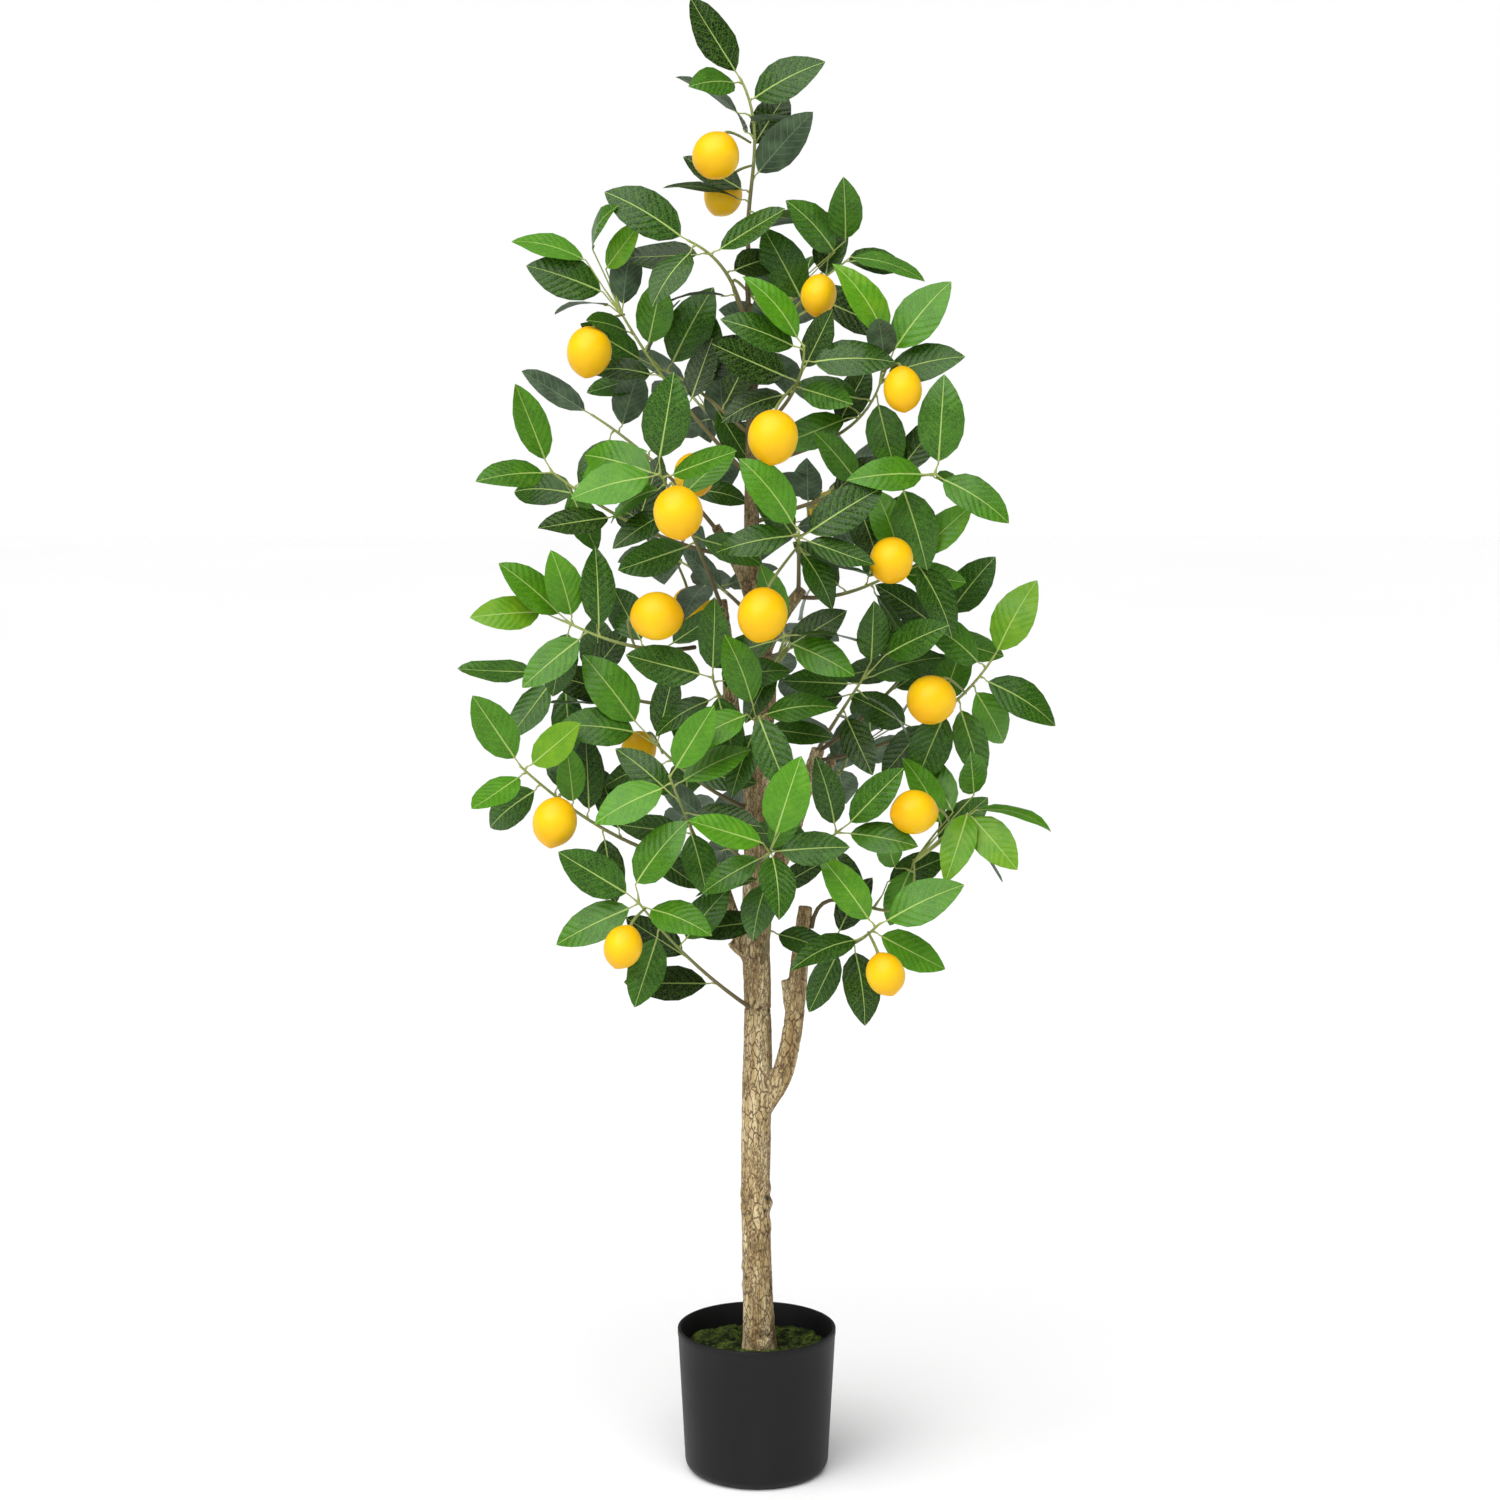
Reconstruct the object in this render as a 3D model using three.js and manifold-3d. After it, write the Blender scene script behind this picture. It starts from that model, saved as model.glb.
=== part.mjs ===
// A lemon tree in a plain round pot, 1.5 m tall.
// Millimetres, +Z up, the front is towards -Y, and the origin is the middle of the pot's underside.
import * as THREE from 'three';
import { mergeVertices } from 'three/addons/utils/BufferGeometryUtils.js';
import Module from 'manifold-3d';

// Driving dimensions
const pot = { height: 152, rimRadius: 82.5, neckRadius: 80.5, footRadius: 75, wall: 3, edgeRound: 12, lip: 7 };
const bed = { mossTop: 128, mossThickness: 9, fillFloor: 3.3 };
const gap = 0.3;
const twig = { footRadius: 2, tipRadius: 1.5, sides: 4, steps: 4 };
const leaf = { widthShare: 0.46, fold: 14, keel: 1.6, petiole: 11, petioleRadius: 0.6, valley: 2, face: 35 };
const stalk = { radius: 1.5, rise: 9, into: 3 };
const clear = { leaf: 0.8, twig: 0.3 };

const colours = {
  potPlastic: 0x262626,
  soil: 0x4a4038,
  moss: 0x34431a,
  bark: 0xa0875f,
  leaf: 0x2c6b22,
  lemon: 0xf5be1e,
};

// The wood: each limb is a route of points, with its radius at each point. Every route only climbs.
const limbs = {
  trunk: {
    route: [
      [3, 0, 30], [3, 0, 125], [2, 0, 160], [0, 0, 235], [-1, 0, 310], [0, 0, 395], [1, 0, 490], [-1, 0, 575],
      [0, 0, 655], [0, 0, 720], [5, 0, 770], [10, 0, 820], [5, 0, 870], [0, 0, 920], [-5, 0, 975],
      [-5, 0, 1035], [-5, 0, 1115], [-8, 0, 1180], [-10, 0, 1260],
    ],
    radii: [19, 20, 16.5, 15.5, 15.5, 16, 14.5, 14.5, 13.5, 13, 10.5, 10, 9.5, 9, 8, 7.5, 6, 3.4, 2.2],
    sides: 10,
    steps: 30,
  },
  rightLow: {
    route: [[2, 0, 380], [24, -8, 418], [35, -10, 460], [40, -5, 500], [45, 0, 550], [50, 5, 597]],
    radii: [11, 11, 10.5, 10, 9, 7.5],
    sides: 8,
    steps: 7,
  },
  rightStub: { route: [[39, -8, 474], [33, -6, 499], [29, -5, 522]], radii: [7, 6, 4.5], sides: 6, steps: 2 },
  rightMid: {
    route: [[3, 4, 585], [20, 24, 630], [35, 30, 665], [50, 30, 715], [63, 26, 757]],
    radii: [9, 9, 8.5, 8, 7],
    sides: 8,
    steps: 6,
  },
  rightMidStub: { route: [[48, 30, 708], [66, 31, 725], [79, 30, 745]], radii: [6, 5.5, 4.5], sides: 6, steps: 2 },
  leftLow: {
    route: [[-2, 0, 535], [-24, 8, 580], [-35, 15, 612], [-42, 16, 638]],
    radii: [9.5, 9, 8.5, 7.5],
    sides: 8,
    steps: 4,
  },
  leftMid: {
    route: [[0, 0, 700], [-15, 0, 752], [-25, 0, 800], [-30, 0, 860], [-36, 5, 912]],
    radii: [9.5, 8.5, 8, 7, 6],
    sides: 8,
    steps: 7,
  },
  leftHigh: {
    route: [[0, 0, 895], [-15, 0, 938], [-30, 5, 965], [-42, 10, 986]],
    radii: [7, 6.5, 6, 5],
    sides: 6,
    steps: 4,
  },
  rightHigh: {
    route: [[5, 0, 855], [25, -5, 895], [46, -8, 924]],
    radii: [7.5, 7, 6],
    sides: 6,
    steps: 3,
  },
};

// The leafy shoots. A shoot's twig runs from its foot, a height on a limb, to its tip, and bows by so much half way.
// Each leaf is [place along the twig, bearing, lean, length] and, where it isn't the usual, how its upper side faces.
// Bearing is clockwise from straight up as seen from the front, lean is towards the front, both in degrees.
// A face of 0 turns the upper side to the front, 90 turns it up and 140 shows the underside.
const shoots = [
  {
    name: 'leader_shoot', foot: ['trunk', 1240], tip: [-15, 0, 1425], bow: [6, 0, 0],
    leaves: [
      [1, -35, 5, 83], [0.99, -88, 45, 60], [0.88, 62, 12, 78], [0.8, -57, 0, 70, 90], [0.7, -30, -45, 62, 120],
      [0.62, 32, -20, 66], [0.78, 92, 60, 62, 85], [0.47, 42, 0, 80, 140], [0.4, -62, -35, 70],
      [0.36, -84, 5, 78, 80], [0.3, 106, 55, 60], [0.2, 75, 5, 72, 95],
    ],
  },
  {
    name: 'upper_left_leader_shoot', foot: ['trunk', 1165], tip: [-65, -60, 1266], bow: [8, 0, 18],
    leaves: [
      [1, -58, 0, 86], [0.95, 217, 30, 70], [0.8, 61, 10, 76], [0.82, -95, -15, 74], [0.6, 60, -50, 60],
      [0.4, -95, 0, 70, 95],
    ],
  },
  {
    name: 'upper_right_shoot', foot: ['trunk', 1160], tip: [88, 0, 1262], bow: [10, 0, -6],
    leaves: [
      [1, -3, 35, 70], [1, 105, 10, 76, 60], [0.92, -50, 25, 72], [0.95, 92, -30, 68], [0.6, 115, -10, 76],
      [0.5, -34, 0, 78], [0.7, 20, -20, 66], [0.4, 60, -15, 66],
    ],
  },
  {
    name: 'upper_left_shoot', foot: ['trunk', 1030], tip: [-165, -10, 1255], bow: [-15, 0, 0],
    leaves: [
      [1, 26, 40, 68], [0.97, -73, 0, 74, 60], [0.92, 41, 30, 64], [0.84, -70, 5, 78], [0.8, -92, -35, 68, 100],
      [0.76, 8, 20, 62, 90], [0.68, -80, 50, 60], [0.6, 14, 10, 74], [0.5, -85, -10, 68], [0.35, 20, -20, 66],
    ],
  },
  {
    name: 'left_grey_shoot', foot: ['leftHigh', 978], tip: [-165, 45, 1095], bow: [0, 0, 10],
    leaves: [
      [1, -60, 0, 76, 140], [0.82, 10, 25, 66, 130], [0.86, 205, 15, 66], [0.6, 22, -10, 74],
      [0.5, -80, -20, 66], [0.35, 100, -10, 62],
    ],
  },
  {
    name: 'left_high_shoot', foot: ['leftHigh', 955], tip: [-205, -50, 1045], bow: [0, 0, -15],
    leaves: [
      [1, -22, 5, 80], [0.98, -94, 35, 76], [0.86, 63, 15, 74], [0.9, 150, -20, 68], [0.8, -98, -15, 72],
      [0.6, -99, 10, 78], [0.5, 20, -20, 66], [0.35, -60, -35, 64],
    ],
  },
  {
    name: 'front_left_shoot', foot: ['leftMid', 902], tip: [-95, -150, 1050], bow: [0, 0, 8],
    leaves: [
      [1, 10, 5, 82], [0.96, -103, 12, 78], [0.93, 71, 25, 74], [1, -75, -25, 78], [0.88, -120, -30, 70],
      [0.72, -116, 10, 66], [0.75, 50, -20, 68], [0.5, 110, 0, 64], [0.45, -110, 0, 70],
    ],
  },
  {
    name: 'front_left_mid_shoot', foot: ['leftMid', 800], tip: [-45, -100, 845], bow: [0, 0, -6],
    leaves: [
      [1, -76, 5, 76], [0.95, 4, 10, 74, 75], [0.88, 80, -10, 68], [0.8, 165, 10, 66], [0.6, -120, 0, 66],
      [0.5, 30, -20, 64],
    ],
  },
  {
    name: 'left_mid_shoot', foot: ['leftMid', 872], tip: [-205, -50, 905], bow: [0, -50, -18],
    leaves: [
      [1, -92, 22, 72], [0.9, -48, 8, 78], [0.86, -14, 20, 70], [0.78, -129, 12, 74], [0.88, 195, 0, 66],
      [0.72, -2, -5, 78, 85], [0.55, -30, -30, 68], [0.4, 60, -20, 64],
    ],
  },
  {
    name: 'left_middle_back_shoot', foot: ['leftMid', 800], tip: [-215, 30, 835], bow: [0, 0, -10],
    leaves: [
      [1, -91, 0, 80, 60], [0.95, 215, 10, 70], [0.9, 174, 5, 78], [0.8, 40, 0, 66], [0.7, -12, -20, 70],
      [0.6, -70, 20, 66], [0.5, -94, -10, 80, 90], [0.35, 140, 10, 62],
    ],
  },
  {
    name: 'left_inner_shoot', foot: ['trunk', 690], tip: [-115, -50, 786], bow: [-5, 0, -8],
    leaves: [
      [1, -37, 0, 84], [0.97, -82, 10, 76], [0.85, 20, 10, 72], [0.7, -110, -10, 68], [0.6, 100, 10, 66],
      [0.5, 40, -20, 62],
    ],
  },
  {
    name: 'left_low_front_shoot', foot: ['leftLow', 628], tip: [-85, -130, 750], bow: [0, 0, -10],
    leaves: [
      [1, 31, 10, 76], [0.95, -115, 10, 74], [0.93, 65, -12, 74], [0.8, -50, -10, 72], [0.7, 100, 10, 68],
      [0.6, 165, 10, 64], [0.5, -85, 0, 66],
    ],
  },
  {
    name: 'left_low_shoot', foot: ['leftLow', 636], tip: [-235, -60, 750], bow: [0, 0, -22],
    leaves: [
      [1, -33, 8, 78], [0.98, 50, 18, 72], [0.97, -124, 40, 68], [0.88, -129, -20, 70], [0.8, 6, -30, 62, 90],
      [0.7, -45, 25, 68], [0.62, -3, 0, 78, 85], [0.55, 170, 10, 66], [0.45, -20, -12, 70], [0.35, 125, 10, 62],
    ],
  },
  {
    name: 'lowest_left_shoot', foot: ['trunk', 485], tip: [-125, -120, 635], bow: [0, 0, -10],
    leaves: [
      [1, 37, 5, 80], [1, -58, 5, 80], [0.92, -124, 0, 82], [0.9, 103, 35, 74], [0.75, 198, 12, 72],
      [0.6, 40, -10, 66], [0.5, -60, -10, 68], [0.3, -92, 0, 84, 60],
    ],
  },
  {
    name: 'front_low_shoot', foot: ['trunk', 640], tip: [15, -162, 690], bow: [0, 0, -8],
    leaves: [
      [1, 17, 8, 80], [1, -73, 8, 76], [1, 171, 45, 70], [0.8, 85, 8, 68], [0.75, -120, 0, 66], [0.6, 30, 0, 64],
    ],
  },
  {
    name: 'trunk_shoot', foot: ['trunk', 520], tip: [12, -50, 640], bow: [6, -8, 0],
    leaves: [
      [1, 197, 40, 66], [0.97, -103, 0, 66, 90], [0.85, 60, 10, 60], [0.6, -98, 5, 78], [0.5, 105, 20, 60],
    ],
  },
  {
    name: 'lowest_right_shoot', foot: ['rightLow', 588], tip: [120, -110, 600], bow: [0, 0, -25],
    leaves: [
      [1, 62, 5, 82], [0.95, -36, 5, 80], [0.9, 121, -10, 74], [0.8, -105, 28, 76], [0.65, 171, 20, 74],
      [0.5, 205, 0, 66], [0.4, 30, -10, 64],
    ],
  },
  {
    name: 'front_right_low_shoot', foot: ['rightMid', 650], tip: [85, -80, 690], bow: [0, 0, -6],
    leaves: [
      [1, 44, 8, 78], [0.95, 97, 18, 70], [0.9, -14, 12, 72], [0.7, 150, 10, 64], [0.6, -80, 0, 64],
    ],
  },
  {
    name: 'right_low_shoot', foot: ['rightLow', 578], tip: [218, -50, 715], bow: [10, 0, -12],
    leaves: [
      [1, -10, 42, 70], [1, 98, 15, 76, 70], [0.97, 190, 22, 76], [0.94, 115, 50, 70], [0.88, -30, -30, 68],
      [0.85, -28, 0, 76], [0.9, 150, -10, 74, 85], [0.7, 60, -20, 68], [0.6, 200, -10, 66], [0.5, -20, 30, 54],
      [0.4, 60, -10, 66],
    ],
  },
  {
    name: 'right_mid_shoot', foot: ['rightMid', 742], tip: [235, -40, 855], bow: [18, 0, -15],
    leaves: [
      [1, 27, 3, 80], [1, -50, 18, 74], [0.95, 120, 3, 82], [0.9, 150, -20, 70], [0.85, 162, 10, 74],
      [0.8, 195, 5, 76], [0.65, 20, -15, 66], [0.6, -130, -10, 66], [0.5, -60, 10, 64],
    ],
  },
  {
    name: 'right_mid_upper_shoot', foot: ['rightMid', 752], tip: [190, 15, 890], bow: [6, 0, -8],
    leaves: [
      [1, 37, 8, 72], [0.97, -105, 38, 66], [0.95, -55, 5, 68], [0.9, 108, -10, 66], [0.7, -100, -10, 66],
      [0.6, 1, 8, 68], [0.5, 60, -20, 64],
    ],
  },
  {
    name: 'right_inner_shoot', foot: ['rightMid', 753], tip: [120, -70, 860], bow: [-8, 0, -8],
    leaves: [
      [1, 60, 30, 76], [0.9, 0, 28, 72], [0.8, 88, 5, 74], [0.75, -88, 0, 66], [0.7, 130, 10, 68, 90],
      [0.65, -100, 20, 66], [0.5, 155, 28, 66],
    ],
  },
  {
    name: 'right_high_shoot', foot: ['rightHigh', 915], tip: [155, -70, 960], bow: [0, 0, -14],
    leaves: [
      [1, 153, 8, 76], [1, 60, 10, 72], [0.9, -20, -10, 70], [0.8, 100, -20, 68], [0.6, 155, 28, 64, 90],
      [0.55, 22, 0, 86], [0.4, -60, 10, 64],
    ],
  },
  {
    name: 'right_upper_shoot', foot: ['trunk', 985], tip: [175, -102, 1044], bow: [10, 0, 8],
    leaves: [
      [1, 3, 5, 84], [0.98, 121, 20, 78], [0.97, -91, 25, 78], [0.95, 115, -40, 64], [0.8, 151, -8, 82],
      [0.75, 40, -10, 70], [0.6, -40, 18, 66], [0.55, 160, 0, 66], [0.4, 60, 10, 62],
    ],
  },
  {
    name: 'right_top_shoot', foot: ['trunk', 1040], tip: [130, -90, 1164], bow: [30, 0, -12],
    leaves: [
      [1, -32, 0, 88], [1, 38, 0, 84], [1, -5, 40, 58, 130], [0.95, 75, 45, 72], [0.9, 65, -15, 76],
      [0.8, 160, 0, 68], [0.75, -80, -10, 68], [0.62, -38, 0, 56, 85], [0.6, -114, 0, 78], [0.45, 20, -10, 66],
    ],
  },
  {
    name: 'front_upper_shoot', foot: ['trunk', 1070], tip: [45, -120, 1165], bow: [15, 0, 0],
    leaves: [
      [1, -38, 5, 78], [0.97, -69, 12, 76], [0.85, 72, 5, 78], [0.7, 50, 35, 64], [0.7, -68, 0, 80],
      [0.6, 108, 40, 66], [0.55, -110, 10, 66],
    ],
  },
  {
    name: 'left_upper_back_shoot', foot: ['trunk', 1075], tip: [-115, 40, 1150], bow: [0, 0, 10],
    leaves: [
      [1, 30, 18, 66, 80], [1, -60, -10, 70], [0.8, 28, 0, 86], [0.85, -110, 0, 68], [0.6, 50, -20, 72],
      [0.5, 10, -30, 68], [0.4, 150, -10, 64], [0.3, 28, 18, 64],
    ],
  },
  {
    name: 'front_middle_shoot', foot: ['rightHigh', 918], tip: [40, -150, 990], bow: [0, 0, 8],
    leaves: [
      [1, -31, 5, 80], [0.95, -100, 10, 70], [0.88, 112, 10, 68], [0.85, 50, 0, 84], [0.75, -45, 35, 68],
      [0.7, 150, 0, 60], [0.6, 105, 18, 70, 90],
    ],
  },
  {
    name: 'front_centre_shoot', foot: ['trunk', 830], tip: [28, -110, 888], bow: [0, 0, -6],
    leaves: [
      [1, 95, 5, 74, 85], [0.97, -20, 18, 70], [0.95, -100, 0, 70], [0.9, 114, 20, 68], [0.7, 60, 0, 66],
      [0.6, 205, 10, 64],
    ],
  },
  {
    name: 'front_fork_shoot', foot: ['trunk', 765], tip: [-2, -118, 817], bow: [0, 0, -8],
    leaves: [
      [1, 158, 12, 80], [1, -110, 18, 68], [0.92, -20, 10, 72], [0.85, 80, 10, 70], [0.7, 200, 8, 66],
      [0.6, 100, -5, 64],
    ],
  },
];

// The shoots at the back carry their leaves in a spiral: each a golden angle on from the last.
const backShoots = [
  { name: 'back_top_shoot', foot: ['trunk', 1110], tip: [50, 110, 1240], start: 20 },
  { name: 'back_upper_left_shoot', foot: ['trunk', 1020], tip: [-80, 150, 1130], start: 200 },
  { name: 'back_upper_right_shoot', foot: ['trunk', 945], tip: [120, 160, 1040], start: 85 },
  { name: 'back_left_shoot', foot: ['trunk', 880], tip: [-110, 180, 950], start: 300 },
  { name: 'back_middle_shoot', foot: ['trunk', 805], tip: [50, 210, 870], start: 140 },
  { name: 'back_right_low_shoot', foot: ['rightMid', 700], tip: [150, 165, 761], start: 30 },
  { name: 'back_left_low_shoot', foot: ['trunk', 620], tip: [-90, 170, 690], start: 250 },
];
const spiral = { leaves: 9, goldenAngle: 137.5, firstPlace: 0.3, spread: 58, longest: 80, shortest: 64, face: 145 };

// The lemons: middle, width and height, the bearing and lean of the stalk end, and the twig that each hangs from.
const lemons = [
  { middle: [-40, -45, 1350], size: [46, 51], stalk: [20, -20], from: ['leader_shoot', 0.68] },
  { middle: [60, -60, 1215], size: [35, 46], stalk: [8, -20], from: ['upper_right_shoot', 0.62] },
  { middle: [-165, -50, 1160], size: [44, 55], stalk: [10, -20], from: ['upper_left_shoot', 0.76] },
  { middle: [140, -112, 1125], size: [37, 48], stalk: [-5, -15], from: ['right_top_shoot', 0.88] },
  { middle: [15, -150, 1080], size: [48, 57], stalk: [5, -20], from: ['front_upper_shoot', 0.62] },
  { middle: [-75, -180, 1010], size: [47, 55], stalk: [-10, -15], from: ['front_left_shoot', 0.86] },
  { middle: [130, -112, 960], size: [43, 51], stalk: [15, -30], from: ['right_high_shoot', 0.84] },
  { middle: [-97, -135, 908], size: [47, 56], stalk: [-95, -15], from: ['left_mid_shoot', 0.55] },
  { middle: [5, -158, 911], size: [48, 57], stalk: [12, -20], from: ['front_middle_shoot', 0.72] },
  { middle: [172, -80, 820], size: [49, 53], stalk: [30, -25], from: ['right_mid_shoot', 0.8] },
  { middle: [-120, 0, 760], size: [36, 40], stalk: [30, 10], from: ['left_inner_shoot', 0.8] },
  { middle: [-200, -95, 700], size: [44, 54], stalk: [10, -20], from: ['left_low_shoot', 0.78] },
  { middle: [155, -95, 710], size: [44, 52], stalk: [85, -20], from: ['right_low_shoot', 0.84] },
  { middle: [-131, -140, 584], size: [38, 47], stalk: [20, -15], from: ['lowest_left_shoot', 0.88] },
  { middle: [126, -132, 555], size: [38, 47], stalk: [-20, -15], from: ['lowest_right_shoot', 0.86] },
  { middle: [-34, 30, 1315], size: [38, 46], stalk: [25, 20], from: ['leader_shoot', 0.55] },
  { middle: [-62, -50, 1040], size: [40, 48], stalk: [-20, -30], from: ['front_left_shoot', 0.6] },
  { middle: [75, 150, 990], size: [44, 53], stalk: [10, 10], from: ['back_upper_right_shoot', 0.8] },
  { middle: [-70, 185, 885], size: [46, 54], stalk: [-10, 15], from: ['back_left_shoot', 0.8] },
];

const radians = THREE.MathUtils.degToRad;
const wasm = await Module();
wasm.setup();

function toSolid(geometry) {
  const bare = geometry.clone();
  bare.deleteAttribute('normal');
  bare.deleteAttribute('uv');
  const merged = mergeVertices(bare);
  return new wasm.Manifold(
    new wasm.Mesh({
      numProp: 3,
      vertProperties: merged.attributes.position.array,
      triVerts: new Uint32Array(merged.index.array),
    })
  );
}

function toGeometry(solid) {
  const mesh = solid.getMesh();
  const geometry = new THREE.BufferGeometry();
  geometry.setAttribute('position', new THREE.BufferAttribute(mesh.vertProperties, 3));
  geometry.setIndex(new THREE.BufferAttribute(mesh.triVerts, 1));
  geometry.computeVertexNormals();
  return geometry;
}

function largestBody(solid) {
  const bodies = solid.decompose();
  bodies.sort((a, b) => b.volume() - a.volume());
  return bodies[0];
}

// The value at x along a broken line through the points (xs, ys).
function interpolate(xs, ys, x) {
  const i = Math.max(1, Math.min(xs.length - 1, xs.findIndex((value) => value > x)));
  const share = THREE.MathUtils.clamp((x - xs[i - 1]) / (xs[i] - xs[i - 1]), 0, 1);
  return THREE.MathUtils.lerp(ys[i - 1], ys[i], share);
}

// A round bar along a curve, whose radius is given for each place from 0 to 1 and its centre there.
function taperedBar(curve, radiusAt, sides, steps) {
  const circle = [];
  for (let i = 0; i < sides; i += 1) {
    const angle = (i / sides) * 2 * Math.PI;
    circle.push(new THREE.Vector2(Math.cos(angle), Math.sin(angle)));
  }
  const options = { extrudePath: curve, steps, bevelEnabled: false };
  const geometry = new THREE.ExtrudeGeometry(new THREE.Shape(circle), options);
  const centres = curve.getSpacedPoints(steps);
  const position = geometry.attributes.position;
  const point = new THREE.Vector3();
  for (let i = 0; i < position.count; i += 1) {
    point.fromBufferAttribute(position, i);
    const distances = centres.map((centre) => centre.distanceToSquared(point));
    const nearest = distances.indexOf(Math.min(...distances));
    const radius = radiusAt(nearest / steps, centres[nearest]);
    point.sub(centres[nearest]).multiplyScalar(radius).add(centres[nearest]);
    position.setXYZ(i, point.x, point.y, point.z);
  }
  return toSolid(geometry);
}

// The wood

const vectors = (points) => points.map((point) => new THREE.Vector3(...point));
const limbCurves = Object.fromEntries(
  Object.entries(limbs).map(([name, limb]) => [name, new THREE.CatmullRomCurve3(vectors(limb.route))])
);

function limbBar(name, extra) {
  const { route, radii, sides, steps } = limbs[name];
  const heights = route.map((point) => point[2]);
  const radiusAt = (place, centre) => interpolate(heights, radii, centre.z) + extra;
  return taperedBar(limbCurves[name], radiusAt, sides, steps);
}

// The whole woody piece, thicker all round by extra.
function woodSolid(extra) {
  return Object.keys(limbs).map((name) => limbBar(name, extra)).reduce((wood, bar) => wood.add(bar));
}

// The point on a limb's middle line at a height.
function limbPoint(name, height) {
  const points = limbCurves[name].getSpacedPoints(200);
  const above = points.findIndex((point) => point.z >= height);
  return points[above];
}

// The pot and what is in it

function latheSolid(profile, segments) {
  const points = profile.map(([radius, height]) => new THREE.Vector2(radius, height));
  return toSolid(new THREE.LatheGeometry(points, segments));
}

// The outside radius of the pot's wall at a height, between the rounded edge and the lip.
function wallRadius(height) {
  const share = (height - pot.edgeRound) / (pot.height - pot.lip - pot.edgeRound);
  return THREE.MathUtils.lerp(pot.footRadius, pot.neckRadius, share);
}

// The quarter round at the foot of the wall, for a radius and rounding, from the floor up.
function edgeArc(radius, rounding, floor, steps) {
  const points = [];
  for (let i = 0; i <= steps; i += 1) {
    const angle = (i / steps) * (Math.PI / 2);
    const across = radius - rounding + rounding * Math.sin(angle);
    points.push([across, floor + rounding - rounding * Math.cos(angle)]);
  }
  return points;
}

function potSolid() {
  const { height, rimRadius, neckRadius, footRadius, wall, edgeRound, lip } = pot;
  const inside = edgeArc(footRadius - wall, edgeRound - wall, wall, 2).reverse();
  const profile = [
    [0, 0],
    ...edgeArc(footRadius, edgeRound, 0, 3),
    [neckRadius, height - lip],
    [rimRadius, height - lip + 1.5],
    [rimRadius, height - 1],
    [rimRadius - 1, height],
    [rimRadius - wall + 1, height],
    [neckRadius - wall, height - lip],
    ...inside,
    [0, wall],
  ];
  return latheSolid(profile, 32);
}

function fillSolid() {
  const top = bed.mossTop - bed.mossThickness - gap;
  const inset = pot.wall + gap;
  const profile = [
    [0, bed.fillFloor],
    ...edgeArc(pot.footRadius - inset - gap, pot.edgeRound - pot.wall, bed.fillFloor, 2),
    [wallRadius(top) - inset - gap, top],
    [0, top],
  ];
  return latheSolid(profile, 24);
}

// The moss bed: a low dome with soft lumps, thinner towards the wall.
function mossSolid() {
  const floor = bed.mossTop - bed.mossThickness;
  const edge = wallRadius(floor) - pot.wall - 2 * gap;
  const profile = [
    [0, floor], [edge, floor], [edge, floor + 3], [0.9 * edge, floor + 6], [0.65 * edge, floor + 8],
    [0.4 * edge, bed.mossTop], [0, bed.mossTop],
  ];
  const points = profile.map(([radius, height]) => new THREE.Vector2(radius, height));
  const geometry = new THREE.LatheGeometry(points, 20);
  const position = geometry.attributes.position;
  for (let i = 0; i < position.count; i += 1) {
    const [x, y, z] = [position.getX(i), position.getY(i), position.getZ(i)];
    const lump = y > floor + 5 ? 1.2 * Math.sin(x / 9) * Math.cos(z / 7) : 0;
    position.setY(i, y + lump);
  }
  return toSolid(geometry);
}

// A lathe stands along Y, and this stands it along Z.
const stand = (solid) => solid.rotate([90, 0, 0]);

// Directions

// The way that a bearing and a lean point.
function heading(bearing, lean) {
  const [b, l] = [radians(bearing), radians(lean)];
  return new THREE.Vector3(Math.sin(b) * Math.cos(l), -Math.sin(l), Math.cos(b) * Math.cos(l));
}

// The upper side of a leaf that runs along a direction, turned as near as it can be to the way it faces.
function upperSide(along, face) {
  const wanted = new THREE.Vector3(0, -Math.cos(radians(face)), Math.sin(radians(face)));
  return wanted.addScaledVector(along, -wanted.dot(along)).normalize();
}

function placed(geometry, origin, along, up) {
  const across = new THREE.Vector3().crossVectors(up, along);
  const matrix = new THREE.Matrix4().makeBasis(along, across, up).setPosition(origin);
  return toSolid(geometry.applyMatrix4(matrix));
}

// Leaves

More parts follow.
